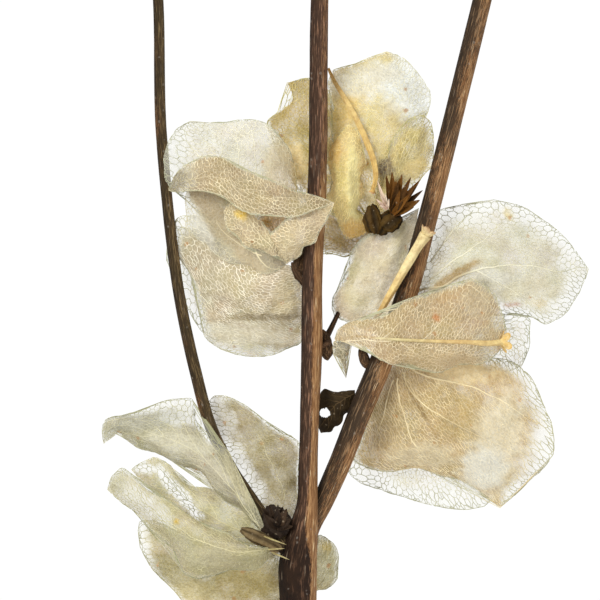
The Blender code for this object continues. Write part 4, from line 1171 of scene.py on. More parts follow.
class Finishes:
    """The materials, and the groups that they share."""

    def __init__(self):
        self.patches = make_cloud_group()
        self.specks = make_speck_group()
        self.wrinkles = make_wrinkle_group()
        self.veinlets = make_veinlet_group()
        self.ivory_film = self.film("ivory_film", solid(206, 150, 88), 0.045)
        self.yellow_film = self.film("yellow_film", solid(196, 140, 52), 0.08)
        self.veins = self.vein("papery_veins")
        self.bark = self.stem_bark()
        self.petal = self.waxy("flower_tube", 0.5, 0.25)
        self.dark = self.waxy("dry_calyx", 0.62, 0.0)
        self.leaf = self.waxy("dry_leaf", 0.7, 0.1)
        self.floor = self.white_floor()

    def start(self, name):
        """The nodes of a new material, and the place on the piece."""
        made = bpy.data.materials.new(name)
        made.use_nodes = True
        made.node_tree.nodes.clear()
        nodes = Nodes(made.node_tree)
        nodes.material = made
        return nodes, nodes.add("ShaderNodeTexCoord").outputs["Object"]

    def end(self, nodes, shader):
        """Leads a shader to the surface and gives back the material."""
        nodes.add("ShaderNodeOutputMaterial", {"Surface": shader})
        return nodes.material

    def cloud(self, nodes, where, size, spread):
        """The mask of soft patches."""
        inputs = {"Position": where, "Size": size, "Spread": spread}
        return nodes.group(self.patches, inputs)[0]

    def speck(self, nodes, where, size, share):
        """The mask of small specks."""
        return nodes.group(self.specks, {"Position": where, "Size": size, "Share": share})[0]

    def film(self, name, speck_colour, speck_share):
        """A dry film, see-through where it is thin, with clouded colour and rusty specks."""
        nodes, where = self.start(name)
        cloud = self.cloud(nodes, where, 0.0035, 0.22)
        grain = self.cloud(nodes, where, 0.0006, 0.25)
        speck = self.speck(nodes, where, 0.0022, speck_share)
        wrinkled = nodes.group(
            self.wrinkles, {"Position": where, "Size": 0.0011, "Depth": 0.0006})["Normal"]
        lace = nodes.group(self.veinlets, {"Position": where, "Size": 0.0007})[0]
        tone = nodes.attribute("tone", "Color")
        darker = nodes.mix(0.22, tone, BROWNING, "MULTIPLY")
        lighter = nodes.mix(0.45, tone, (1, 0.98, 0.9, 1))
        shaded = nodes.over(cloud, 0.8, tone, darker)
        shaded = nodes.over(grain, 0.1, shaded, darker)
        shaded = nodes.over(lace, 0.4, shaded, lighter)
        shaded = nodes.over(speck, 0.6, shaded, speck_colour)
        filling = nodes.attribute("filling")
        uneven = nodes.math("ADD", 0.82, nodes.math("MULTIPLY", cloud, 0.36))
        cover = nodes.math("MULTIPLY", filling, uneven)
        cover = nodes.math("ADD", cover, nodes.math("MULTIPLY", speck, 0.15))
        cover = nodes.math("MINIMUM", cover, 1.0)
        body = nodes.skin(shaded, 0.55, 0.3, 0.42, wrinkled)
        clear = nodes.add("ShaderNodeBsdfTransparent").outputs[0]
        thin = nodes.add("ShaderNodeMixShader", {0: cover, 1: clear, 2: body}).outputs[0]
        return self.end(nodes, thin)

    def vein(self, name):
        """Raised veins and ribs, in the mesh's own tone."""
        nodes, where = self.start(name)
        cloud = self.cloud(nodes, where, 0.002, 0.25)
        tone = nodes.attribute("tone", "Color")
        darker = nodes.mix(0.15, tone, BROWNING, "MULTIPLY")
        shaded = nodes.over(cloud, 0.7, tone, darker)
        return self.end(nodes, nodes.skin(shaded, 0.5, 0.35, 0.12))

    def stem_bark(self):
        """Dark furrowed bark with a peeled orange side, grey streaks and pale flecks."""
        nodes, where = self.start("furrowed_bark")
        grain = nodes.attribute("grain", "Vector")
        bare = nodes.attribute("bare")
        tone = nodes.attribute("tone", "Color")
        streaks = nodes.noise(grain, 8.5, 4.0, 0.65)[0]
        fine = nodes.noise(grain, 20.0, 5.0, 0.7)[0]
        broad = self.cloud(nodes, where, 0.003, 0.2)
        fleck = self.speck(nodes, grain, 0.13, 0.2)
        scurf = self.speck(nodes, where, 0.0011, 0.12)
        pale = nodes.mix(1.0, tone, (5.5, 5.5, 5.2, 1), "MULTIPLY")
        dark = nodes.mix(nodes.ramp(streaks, 0.5, 0.66), tone, pale)
        dark = nodes.over(broad, 0.15, dark, solid(84, 58, 38))
        dark = nodes.over(fleck, 0.5, dark, solid(140, 122, 104))
        warm = nodes.mix(
            nodes.ramp(streaks, 0.42, 0.62), solid(126, 88, 56), solid(178, 138, 96))
        warm = nodes.mix(
            nodes.math("MULTIPLY", nodes.ramp(fine, 0.52, 0.66), 0.7),
            warm, solid(92, 56, 38))
        warm = nodes.over(fleck, 0.8, warm, solid(226, 200, 160))
        split = nodes.math("ADD", bare, nodes.math("MULTIPLY", nodes.ramp(fine, 0.3, 0.7), 0.5))
        peeled = nodes.ramp(split, 0.68, 0.84)
        colour = nodes.mix(peeled, dark, warm)
        colour = nodes.over(scurf, 0.3, colour, solid(150, 142, 132))
        relief = nodes.math("ADD", streaks, nodes.math("MULTIPLY", fine, 0.7))
        relief = nodes.math("SUBTRACT", relief, nodes.math("MULTIPLY", peeled, 0.25))
        bump = nodes.add("ShaderNodeBump", {"Strength": 0.8, "Distance": 0.0003, "Height": relief})
        rough = nodes.ramp(streaks, 0.3, 0.7, 0.58, 0.82)
        return self.end(nodes, nodes.skin(colour, rough, 0.1, 0.0, bump.outputs[0]))

    def waxy(self, name, roughness, glow):
        """A dry wrinkled skin in the mesh's own tone, with painted shade in its creases, which lets
        some light through.
        """
        nodes, where = self.start(name)
        cloud = self.cloud(nodes, where, 0.0016, 0.22)
        speck = self.speck(nodes, where, 0.0009, 0.2)
        wrinkled = nodes.group(
            self.wrinkles, {"Position": where, "Size": 0.0007, "Depth": 0.0003})
        tone = nodes.attribute("tone", "Color")
        darker = nodes.mix(0.55, tone, (0.4, 0.24, 0.12, 1), "MULTIPLY")
        shaded = nodes.over(cloud, 0.75, tone, darker)
        # Painted shade: the colour is darkened in the creases between the fine wrinkles.
        crease_shade = nodes.ramp(wrinkled["Height"], 0.36, 0.5, 0.55, 0.0)
        shaded = nodes.mix(crease_shade, shaded, darker)
        shaded = nodes.over(speck, 0.22, shaded, (0.75, 0.6, 0.42, 1))
        skin = nodes.skin(shaded, roughness, 0.15, glow, wrinkled["Normal"])
        return self.end(nodes, skin)

    def white_floor(self):
        """The plain white ground, which glows evenly."""
        nodes, where = self.start("white_floor")
        paper = nodes.noise(where, 3.0, 2.0)[0]
        white = nodes.mix(paper, (1, 1, 1, 1), (0.99, 0.99, 0.99, 1))
        glow = nodes.add("ShaderNodeEmission", {"Color": white, "Strength": FLOOR_GLOW}).outputs[0]
        return self.end(nodes, glow)


# How each bract looks: the colours of film, veins and bare rim, how filled it is, the bare margin
# at its left, right and tip in millimetres, the size of its vein cells and how long they are along
# the bract, how thick the veins and ribs are, how clear the net is, its pleats (height mm, pitch
# mm, direction), and how nibbled its edge is.
RIM_FILL = 0.28
BARE_FILM = paint(240, 240, 228)
IVORY_LOOK = dict(
    ground=(220, 198, 150), vein=(246, 235, 200), rim=(190, 187, 154), fill=0.86,
    margins=(3.5, 3.5, 3.5), cells=1.0, stretch=1.0, veins=0.9, net=0.7, ribs=0.7,
    pleats=(0.0, 2.5, 0), nibble=1.0)
WHITE_LOOK = dict(
    IVORY_LOOK, ground=(222, 216, 190), vein=(242, 238, 218), rim=(182, 182, 156), fill=0.66,
    margins=(5.0, 5.0, 5.0))
FLAP_LOOK = dict(
    IVORY_LOOK, ground=(203, 184, 144), vein=(248, 236, 204), margins=(0.5, 0.5, 0.5), fill=0.93,
    veins=0.96, ribs=0.3)
YELLOW_LOOK = dict(
    IVORY_LOOK, ground=(226, 208, 142), vein=(246, 234, 182), rim=(196, 188, 132),
    margins=(2.0, 2.0, 3.0), ribs=0.35)
GREENISH_LOOK = dict(
    IVORY_LOOK, ground=(208, 200, 158), vein=(236, 228, 188), rim=(170, 168, 132), fill=0.88,
    margins=(2.5, 2.5, 3.0), net=0.3, veins=0.75, ribs=0.5)
LOOKS = {
    "left_head": {
        "back": dict(WHITE_LOOK, margins=(5.0, 0.6, 5.0)),
        "under": dict(WHITE_LOOK, margins=(4.0, 1.0, 3.0), fill=0.45),
        "front": dict(
            IVORY_LOOK, ground=(220, 205, 170), vein=(254, 246, 228), margins=(3.4, 0.6, 4.0),
            ribs=0.0, pleats=(0.16, 2.7, 80), stretch=0.5, veins=0.98, net=1.1),
        "middle": dict(
            FLAP_LOOK, ground=(214, 204, 174), margins=(0.5, 3.2, 0.5), net=0.3,
            vein=(252, 240, 204), rim=(206, 198, 168), ribs=1.0, veins=0.7, nibble=0.3),
        "lobe": dict(FLAP_LOOK, ground=(228, 212, 174), vein=(248, 238, 206), ribs=0.4, net=0.8),
        "lip": dict(FLAP_LOOK, ground=(232, 214, 176), stretch=0.7, net=0.9),
        "flap": dict(FLAP_LOOK, net=0.9, stretch=0.8),
        "": FLAP_LOOK,
    },
    "upper_head": {
        "fold": dict(
            YELLOW_LOOK, ground=(252, 234, 168), vein=(255, 246, 200), margins=(0.3, 0.3, 0.4),
            fill=0.86, ribs=0.0, veins=0.75, net=0.3, pleats=(0.3, 2.1, 110), nibble=0.2),
        "top": dict(YELLOW_LOOK, margins=(0.3, 1.6, 2.0)),
        "left": dict(
            YELLOW_LOOK, ground=(192, 170, 98), vein=(228, 210, 144), margins=(0.5, 0.6, 1.0)),
        "low": dict(YELLOW_LOOK, ground=(178, 152, 86), vein=(216, 196, 140)),
        "": YELLOW_LOOK,
    },
    "right_head": {
        "left": dict(
            WHITE_LOOK, ground=(238, 227, 198), vein=(248, 242, 222), margins=(0.6, 0.4, 0.8),
            fill=0.95, veins=0.8, ribs=0.4, net=0.5),
        "upper": dict(
            WHITE_LOOK, ground=(216, 210, 180), fill=0.76, ribs=1.3, net=0.45, veins=0.8),
        "lower": dict(
            IVORY_LOOK, ground=(210, 184, 129), vein=(250, 236, 196), margins=(0.8, 4.0, 3.0),
            pleats=(0.26, 2.2, 8), stretch=2.2, ribs=1.1, cells=1.08),
        "under": dict(WHITE_LOOK, fill=0.42),
        "": dict(WHITE_LOOK, fill=0.4),
    },
    "front_head": {
        "front": dict(
            FLAP_LOOK, ground=(212, 189, 144), cells=0.95, stretch=0.6, margins=(0.5, 0.5, 5.0),
            ribs=0.5),
        "": dict(FLAP_LOOK, ground=(164, 153, 122), net=0.4),
    },
    "lower_head": {
        "back_left": dict(
            GREENISH_LOOK, ground=(194, 188, 158), margins=(2.4, 0.15, 1.5), nibble=0.3),
        "back": dict(
            GREENISH_LOOK, ground=(170, 154, 106), margins=(4.0, 1.0, 2.0), net=0.5, ribs=0.3),
        "front": dict(GREENISH_LOOK, margins=(0.8, 0.8, 1.5), fill=0.9),
        "middle": dict(GREENISH_LOOK, margins=(0.15, 0.5, 2.0), nibble=0.3),
        "low": dict(GREENISH_LOOK, ground=(200, 186, 134), margins=(1.8, 0.8, 2.6)),
    },
    "dried_leaf": {"": dict(IVORY_LOOK, ground=(56, 44, 25), vein=(92, 74, 48))},
    "left_tip_head": {"": dict(WHITE_LOOK, cells=1.35)},
    "middle_tip_head": {"": dict(YELLOW_LOOK, cells=1.35)},
    "right_tip_head": {"": dict(IVORY_LOOK, cells=1.35)},
}
# Soft-edged patches of bare net on a bract: place, half sizes in steps, turn, strength.
OPEN_PATCHES = {
    ("upper_head", "top"): ((422, 92, 16, 34, -30, 0.5),),
    ("left_head", "flap"): ((180, 182, 22, 15, 25, 0.45),),
    ("left_head", "middle"): ((190, 224, 9, 22, -8, 0.8),),
    ("lower_head", "back_left"): ((184, 416, 26, 10, 0, 0.6),),
    ("lower_head", "back"): ((222, 416, 12, 26, 25, 0.6),),
    ("lower_head", "middle"): ((178, 492, 36, 7, -49, 1.0), (143, 468, 12, 7, -15, 0.9)),
    ("lower_head", "front"): ((142, 503, 40, 14, -36, 0.45), (180, 545, 18, 12, -30, 0.3)),
}
# Soft-edged patches of colour: place, half sizes in steps, turn, colour, strength. Most are the
# film's own colour; those marked below are painted shade or a painted highlight.
PATCHES = {
    ("left_head", "back"): (
        (282, 168, 20, 30, 0, (232, 218, 186), 0.8), (299, 186, 9, 38, 0, (192, 166, 104), 0.85),
        # The patch at (275, 222) is painted shade: the dim inside of the pocket, seen through its
        # opening under the flap.
        (275, 222, 18, 11, -25, (222, 186, 112), 1.0),
        (172, 150, 14, 32, 20, (214, 214, 200), 0.5),
    ),
    ("left_head", "middle"): (
        (203, 232, 8, 26, 30, (248, 246, 236), 0.9),
        # Painted shadow: these three brown patches make a soft band of shade under the lobe.
        (208, 202, 26, 13, -42, (192, 174, 140), 0.95),
        (230, 235, 30, 11, -46, (204, 188, 154), 0.85),
        (250, 262, 20, 8, -40, (222, 206, 172), 0.8),
    ),
    ("left_head", "lobe"): ((242, 214, 7, 5, -10, (255, 226, 116), 1.0),),
    ("left_head", "flap"): (
        (206, 176, 24, 7, 20, (192, 172, 132), 0.6), (174, 181, 16, 13, 20, (156, 142, 110), 0.75),
    ),
    ("left_head", "front"): (
        (202, 246, 26, 28, -25, (192, 182, 152), 0.6),
        (214, 338, 20, 13, 40, (240, 238, 224), 0.7), (214, 286, 14, 22, 0, (198, 188, 158), 0.5),
        # The thin dark band at (260, 317) is painted shade along the crease across the front bract.
        (286, 300, 14, 24, 0, (240, 226, 186), 0.6), (260, 317, 42, 4, 1, (178, 158, 112), 0.75),
        (245, 336, 48, 14, 0, (246, 240, 218), 0.9), (254, 347, 15, 4, 0, (204, 198, 150), 0.5),
    ),
    ("upper_head", "top"): (
        (410, 86, 40, 34, -30, (244, 246, 242), 1.0), (362, 80, 36, 18, 15, (242, 239, 226), 0.85),
        (345, 112, 12, 20, -20, (250, 224, 140), 0.6),
        (386, 168, 9, 11, 0, (146, 128, 104), 0.9),
        (386, 115, 18, 16, 0, (222, 208, 166), 0.45),
    ),
    ("upper_head", "right"): (
        (424, 128, 4, 30, -12, (176, 156, 100), 0.6), (416, 170, 18, 12, 0, (254, 236, 172), 0.9),
        (386, 168, 9, 11, 0, (140, 122, 98), 0.9),
    ),
    ("upper_head", "fold"): (
        # Painted shade and highlight on the fold: darker at its left edge (334, 150) and right edge
        # (364, 190), with a painted highlight along its middle ridge (353, 184).
        (334, 150, 7, 20, 0, (232, 192, 96), 0.7), (353, 184, 7, 48, 2, (255, 246, 186), 1.0),
        (364, 190, 4, 36, 0, (216, 186, 120), 0.7), (356, 230, 14, 12, 0, (244, 208, 122), 0.9),
    ),
    ("upper_head", "left"): ((287, 166, 20, 26, 0, (255, 238, 190), 0.95),),
    ("right_head", "upper"): (
        (454, 276, 32, 5, 33, (192, 162, 96), 0.9), (496, 276, 20, 7, -6, (236, 234, 224), 0.8),
        (508, 214, 5, 8, 20, (232, 214, 140), 0.9), (540, 303, 8, 5, 0, (228, 208, 146), 0.8),
        (530, 292, 38, 16, 10, (238, 232, 212), 0.6), (512, 305, 9, 2.5, 10, (206, 150, 110), 0.8),
    ),
    # Painted shade: a grey band along the bract's right side, where the stem beside it shades it.
    ("right_head", "left"): ((393, 268, 4, 38, -22, (196, 186, 168), 0.5),),
    ("right_head", "lower"): (
        (405, 395, 18, 20, 0, (190, 166, 120), 0.6), (388, 425, 16, 30, 0, (188, 166, 122), 0.6),
        (462, 418, 50, 26, -30, (214, 190, 130), 0.4),
        (416, 402, 32, 2.6, -59, (166, 138, 86), 0.8),
        (476, 434, 48, 2.4, -23, (182, 160, 112), 0.7),
        (462, 372, 40, 14, 0, (255, 238, 194), 1.0), (498, 444, 28, 56, -12, (252, 247, 228), 0.7),
        (484, 470, 26, 24, 0, (246, 246, 238), 0.85),
        (424, 456, 40, 14, 0, (236, 224, 192), 0.8),
    ),
    ("front_head", "front"): (
        (436, 318, 5, 3.5, -40, (222, 150, 76), 1.0), (444, 298, 12, 5, 10, (226, 190, 134), 0.5),
        (476, 302, 16, 18, 0, (224, 208, 172), 0.7), (432, 358, 46, 8, 0, (222, 198, 152), 0.7),
    ),
    ("lower_head", "back_left"): (
        (150, 420, 40, 10, 6, (186, 184, 166), 0.75), (176, 444, 38, 12, -8, (226, 222, 200), 0.85),
        (210, 472, 26, 12, -40, (230, 224, 204), 0.8), (238, 472, 9, 34, 24, (220, 212, 176), 0.8),
    ),
    ("lower_head", "front"): (
        (118, 482, 10, 12, 0, (208, 204, 180), 0.7), (177, 521, 3.5, 3, 0, (226, 198, 96), 1.0),
        (205, 556, 24, 10, 10, (220, 214, 182), 0.6),
    ),
    ("lower_head", "back"): (
        (220, 420, 15, 26, 20, (166, 152, 118), 0.7), (262, 470, 5, 34, 35, (196, 184, 144), 0.6),
    ),
    ("lower_head", "low"): (
        (330, 562, 16, 28, 0, (208, 204, 168), 0.8), (326, 548, 6, 5, 0, (222, 200, 112), 0.8),
        (168, 576, 28, 20, -30, (176, 167, 122), 0.8),
        (206, 600, 44, 16, -20, (222, 210, 162), 0.7), (222, 590, 4, 12, 20, (190, 168, 104), 0.7),
        (245, 585, 36, 14, 0, (206, 188, 120), 0.7),
    ),
}
# Ribs that can be seen singly, as points of the plan, the midrib first.
RIB_TRACKS = {
    ("right_head", "upper"): (
        ((413, 295), (438, 287), (457, 277), (476, 270), (506, 266), (540, 267), (566, 271),
         (586, 268)),
        ((430, 280), (446, 266), (466, 253), (486, 238), (504, 222)),
        ((430, 262), (446, 240), (462, 222), (474, 210)),
        ((476, 270), (500, 284), (520, 296), (534, 308)),
    ),
    ("right_head", "lower"): (
        ((404, 362), (425, 375), (460, 383), (487, 394), (520, 413), (540, 424)),
        ((404, 372), (415, 396), (437, 413), (470, 432), (500, 446), (526, 454)),
        ((398, 378), (400, 404), (408, 430), (422, 452), (444, 470)),
        ((394, 380), (386, 406), (378, 432), (374, 455)),
    ),
    ("left_head", "middle"): (
        ((255, 248), (258, 256), (263, 263), (270, 268), (280, 268)),
        ((262, 256), (234, 240), (216, 222)),
    ),
    ("left_head", "lobe"): (
        ((272, 248), (258, 232), (248, 216)), ((264, 246), (246, 236), (236, 222)),
        ((272, 243), (264, 230), (258, 220)),
    ),
    ("front_head", "front"): (
        ((345, 341), (390, 341), (440, 342), (500, 342)), ((380, 340), (400, 322), (425, 300)),
        ((420, 341), (445, 318), (470, 290)), ((400, 342), (420, 356), (450, 366)),
        ((466, 285), (484, 298), (494, 318), (500, 336)), ((452, 342), (470, 318), (480, 300)),
    ),
    ("lower_head", "back"): (
        ((284, 500), (270, 460), (250, 424), (236, 408)), ((276, 478), (286, 452), (290, 438)),
    ),
    ("lower_head", "front"): (
        ((262, 550), (215, 546), (180, 528), (145, 504), (116, 484)),
        ((178, 530), (160, 520), (146, 516)), ((196, 540), (180, 530), (166, 506)),
    ),
    ("lower_head", "low"): (
        ((276, 558), (258, 576), (238, 590), (226, 606)), ((278, 562), (270, 580), (262, 600)),
        ((268, 562), (240, 574), (212, 586), (186, 592)),
        ((262, 556), (224, 566), (190, 566), (160, 556)),
    ),
}


def look_of(head, name=""):
    """A bract's look, with its colours painted and its patches and ribs."""
    look = dict(LOOKS[head].get(name) or LOOKS[head][""])
    for part in ("ground", "vein", "rim"):
        look[part] = paint(*look[part])
    for part, table in (("open", OPEN_PATCHES), ("patches", PATCHES), ("tracks", RIB_TRACKS)):
        look[part] = table.get((head, name), ())
    return look


def patched(colours, points, patches, seed):
    """Colours with soft uneven patches laid over them, and how strong the patches are."""
    strength = np.zeros(len(points))
    for number, patch in enumerate(patches):
        colour, most = patch[5:]
        share = most * patch_share(points, patch, seed + 20 + number)
        colours = blend(colours, paint(*colour), share[:, None])
        strength = np.maximum(strength, share)
    return colours, strength


def clouded(colour, points, size, seed, depth=0.12):
    """One colour for each point, lighter and darker in soft clouds."""
    share = 1 + depth * noise_at(points, size, seed)
    return np.clip(colour * share[:, None], 0, 1)


def add_film(gathered, net):
    """The closed thin film of one bract, drawn in a little between its veins."""
    bract = net.bract
    sunk = np.zeros(len(net.corners))
    sunk[:net.count] = CELL_DENT * noise_at(net.points, 0.7 * MM, bract.seed + 17)
    surface = net.corners + net.normals * sunk[:, None]
    corners, faces, source = shell(surface, net.normals, net.film_faces(), FILM_THICKNESS)
    points = net.corners[source]
    margin = net.margin[source][:, None]
    ground = clouded(bract.look["ground"], points, 4 * MM, bract.seed + 11, 0.13)
    drift = noise_at(points, 6 * MM, bract.seed + 12)[:, None]
    ground = np.clip(ground * (1 + drift * np.array([-0.06, 0.0, -0.16])), 0, 1)
    tone = blend(ground, BARE_FILM, margin)
    tone, strength = patched(tone, points, bract.look["patches"], bract.seed)
    fill = bract.look["fill"] * (1 + 0.22 * noise_at(points, 3 * MM, bract.seed + 13))
    fill = fill * (1 - margin[:, 0]) + RIM_FILL * margin[:, 0] + 0.3 * strength
    gathered.add(corners, faces, tone=tone, filling=1 - np.sqrt(1 - np.clip(fill, 0.05, 0.97)))


def vein_tones(bract, points, margin, clearer=0.0):
    """The colours of veins at points of a bract; ribs are made clearer than the net."""
    shown = bract.look["net"] + clearer
    shown = shown * (0.82 + 0.4 * noise_at(points, 6 * MM, bract.seed + 16))
    shown = np.clip(shown, 0.1, 1)[:, None]
    inner = clouded(bract.look["vein"], points, 4 * MM, bract.seed + 15)
    inner = blend(bract.look["ground"], inner, shown)
    tone = blend(inner, bract.look["rim"], margin[:, None])
    # The bract's colour patches, the painted shade and highlight among them, are laid on its veins
    # too, a little over half as strong.
    patches = [(*row[:6], 0.55 * row[6]) for row in bract.look["patches"]]
    return patched(tone, points, patches, bract.seed)[0]


def tracked_lines(bract):
    """Chains of (place along, place across, radius) for ribs given as points of the plan."""
    shares = np.meshgrid(*(np.linspace(0, 1, count) for count in TRACK_GRID), indexing="ij")
    along, across = (share.ravel() for share in shares)
    plan = bract.at(bract.grid, along, across)[:, :2]
    lines = []
    for number, track in enumerate(bract.look["tracks"]):
        found = []
        for x, y in track:
            at = place(x, y, 0)
            nearest = np.argmin(np.hypot(plan[:, 0] - at.x, plan[:, 1] - at.y))
            found.append((along[nearest], across[nearest]))
        line = smooth_line(np.array(found), RIB_POINTS, even=False)
        thick = MIDRIB_RADIUS if number == 0 else SIDE_RIB_RADIUS
        taper = thick + (RIB_END_RADIUS - thick) * np.linspace(0, 1, RIB_POINTS)
        lines.append(np.column_stack([np.clip(line, 0.005, 0.995), taper]))
    return lines


def rib_lines(bract):
    """Chains of (place along, place across, radius) for a bract's midrib and side ribs."""
    draw = random.Random(bract.seed)
    bend = draw.uniform(0, 6)
    along = np.linspace(0.02, 0.95, RIB_POINTS)
    across = 0.5 + 0.022 * np.sin(5 * along + bend)
    radius = MIDRIB_RADIUS + (RIB_END_RADIUS - MIDRIB_RADIUS) * along
    lines = [np.stack([along, across, radius], axis=1)]
    share = np.linspace(0, 1, SIDE_RIB_POINTS)
    for pair in range(SIDE_RIB_PAIRS):
        for side in (-1, 1):
            start = 0.05 + 0.72 * (pair + draw.uniform(0, 0.6)) / SIDE_RIB_PAIRS
            reach = draw.uniform(0.2, 0.3) + 0.06 * pair / SIDE_RIB_PAIRS
            way = start + reach * share ** draw.uniform(1.0, 1.5)
            out = 0.5 + side * draw.uniform(0.34, 0.44) * share ** 0.82
            out = out + 0.02 * np.sin(9 * share + draw.uniform(0, 6)) * share
            out = out + 0.022 * np.sin(5 * way + bend) * (1 - share)
            thick = SIDE_RIB_RADIUS + (RIB_END_RADIUS - SIDE_RIB_RADIUS) * share
            lines.append(np.stack([way, out, thick], axis=1)[way < 0.97])
    return lines


def add_ribs(gathered, bract):
    """The ribs of one bract as chains of edges."""
    if bract.look["ribs"] == 0:
        return
    for line in tracked_lines(bract) if bract.look["tracks"] else rib_lines(bract):
        points = bract.at(bract.grid, line[:, 0], line[:, 1])
        margin = bract.margin(line[:, 0], line[:, 1], points)
        thickness = line[:, 2] * bract.look["ribs"] * (0.8 + 0.2 * bract.breadth)
        tone = vein_tones(bract, points, margin, 0.35)
        gathered.add(points, edges=chained(len(points)), thickness=thickness, tone=tone)


def head_bracts(head, hub, bracts, flaps, seed):
    """The bracts of a head, with their looks; flaps don't start at its hub."""
    made = []
    for number, (name, row) in enumerate([*bracts.items(), *flaps.items()]):
        rails, phase = tipped(*row), FLAP_PHASE
        if name in bracts:
            rails, phase = [[hub, *rail] for rail in rails], BRACT_PHASE_STEP * number
        own_seed = seed + BRACT_SEED_STEP * number
        made.append(Bract(bract_grid(rails), phase, own_seed, look_of(head, name)))
    return made


def tip_bracts(head, hub, heading, length, first_turn, seed):
    """The bracts of a head at a stem's tip, with their looks."""
    heading = math.radians(heading)
    forward = Vector((math.cos(heading), math.sin(heading), 0))
    made = []
    for number in range(TIP_BRACT_COUNT):
        turn = math.radians(first_turn + 360 * number / TIP_BRACT_COUNT)
        size = length * MM * (1 - TIP_SHRINK * (number % 2))
        grid = tip_grid(place(*hub), forward, turn, size)
        own_seed = seed + BRACT_SEED_STEP * number
        made.append(Bract(grid, TIP_PHASE_STEP * number, own_seed, look_of(head)))
    return made


def make_head(head, bracts, finishes, trees):
    """A head's films, veins and ribs as pieces."""
    yellow = head == "upper_head"
    film = finishes.yellow_film if yellow else finishes.ivory_film
    films, ribs, nets = Gathered(), Gathered(), []
    for bract in bracts:
        net = Net(bract)
        add_film(films, net)
        add_ribs(ribs, bract)
        mesh = bpy.data.meshes.new("net")
        mesh.from_pydata(net.points.tolist(), [], net.triangles.tolist())
        store(mesh, "thickness", net.thickness(), "FACE")
        store(mesh, "tone", vein_tones(bract, net.middles, net.margin[net.count:]), "FACE")
        nets.append(grown(mesh, trees["veins"], seed=bract.seed, material=finishes.veins))
    nets.append(grown(ribs.mesh(), trees["ribs"], material=finishes.veins))
    piece(f"{head}_bracts", [films.mesh()], head, film)
    piece(f"{head}_veins", nets, head)


def even_line(points, every):
    """A stem's middles and radii in metres, evenly spaced."""
    path = np.array([(*place(*point[:3]), point[3] * MM) for point in points])
    return smooth_line(path, max(3, round(walked(path[:, :3])[-1] / every) + 1))


def chained(count):
    """Edges from each point to the next."""
    return [(number, number + 1) for number in range(count - 1)]


def chain_mesh(line, **values):
    """A chain of edges with a thickness at each point, and other values."""
    edges = chained(len(line))
    return one_shape(line[:, :3], (), edges, thickness=line[:, 3], **values)


def y_steps(points):
    """How far down the plan points lie."""
    return SHEET_MIDDLE - (points[:, 1] + FOOTPRINT_MIDDLE[1]) / STEP


def make_stems(finishes, trees):
    """The forked wood with its stalks and bumps."""
    rows = [
        (MIDDLE_STEM, BARK_STEP, 40, 0.16, (64, 46, 36)),
        (LEFT_STEM, BARK_STEP, 26, 0.09, (54, 44, 29)),
        (RIGHT_STEM, BARK_STEP, 34, 0.13, (60, 47, 35)),
        *((stalk, STALK_STEP, 18, 0.06, (60, 44, 32)) for stalk in STALKS),
    ]
    meshes = []
    for number, (points, every, sides, depth, tone) in enumerate(rows):
        line = even_line(points, every)
        mesh = grown(
            chain_mesh(line), trees["stems"], tube_sides=sides, furrow_depth=depth * MM,
            furrows_round=2.4, seed=3.0 * number, material=finishes.bark)
        corners = corners_of(mesh)
        nearest = np.argmin(np.abs(line[:, None, 1] - corners[None, :, 1]), axis=0)
        side = (corners[:, 0] - line[nearest, 0]) / line[nearest, 3]
        store(mesh, "bare", bareness(number, side, corners))
        # Painted shade and light: each stem's tone is painted darker along its left side and
        # lighter along its right side. The middle stem is also darker from its fork down to its
        # foot.
        shade = np.tile(paint(*tone), (len(corners), 1)) * (1 + 0.7 * np.clip(side, -1, 1))[:, None]
        if number == 0:
            shade = shade * (1 - 0.7 * smooth_step(515, 550, y_steps(corners)))[:, None]
        store(mesh, "tone", shade)
        meshes.append(mesh)
    for number, (at, sizes, turn) in enumerate(NODE_BUMPS):
        meshes.append(bump_mesh(at, sizes, turn, number, finishes.bark))
    for mesh in meshes:
        corners = corners_of(mesh)
        corners[:, 2] = np.maximum(corners[:, 2], 0)
        mesh.vertices.foreach_set("co", corners.ravel())
    piece("stems", meshes, "branch")


def corners_of(mesh):
    """A mesh's corners as an array."""
    flat = np.empty(len(mesh.vertices) * 3)
    mesh.vertices.foreach_get("co", flat)
    return flat.reshape(-1, 3)


def bareness(number, side, corners):
    """How far the bark has peeled at each point of a stem, from 0 to 1."""
    patch = noise_at(corners * np.array([1, 0.25, 1]), 4 * MM, 60 + number)
    if number == 0:
        y_step = y_steps(corners)
        warm = 0.45 + 0.55 * smooth_step(150, 240, y_step)
        foot = smooth_step(520, 560, y_step)
        share = np.clip((side + 0.25 * patch + 0.25 - 0.55 * foot) / (0.7 - 0.3 * foot), 0, 1)
        return np.clip(warm * share, 0, 1)
    if number == 2:
        return np.clip(0.42 + 0.26 * patch + 0.18 * side, 0, 1)
    return np.clip(0.22 + 0.4 * patch, 0, 1)


def turned(degrees):
    """A turn about the upright, as a matrix for rows of points."""
    angle = math.radians(degrees)
    return np.array([[math.cos(angle), math.sin(angle), 0],
                     [-math.sin(angle), math.cos(angle), 0], [0, 0, 1]])


def lump(at, sizes, turn, seed):
    """A rough rounded lump: corners, faces and the outward direction at each corner."""
    ball = bmesh.new()
    bmesh.ops.create_icosphere(ball, subdivisions=LUMP_DETAIL, radius=1)
    ball.verts.ensure_lookup_table()
    outward = np.array([vertex.co[:] for vertex in ball.verts])
    faces = [tuple(vertex.index for vertex in face.verts) for face in ball.faces]
    ball.free()
    rough = noise_at(outward, 0.5, seed) + 0.5 * noise_at(outward, 0.2, seed + 1)
    points = outward * (1 + LUMP_ROUGHNESS * rough)[:, None] * np.array(sizes) * MM / 2
    around = turned(turn)
    return points @ around + np.array(place(*at)), faces, outward @ around


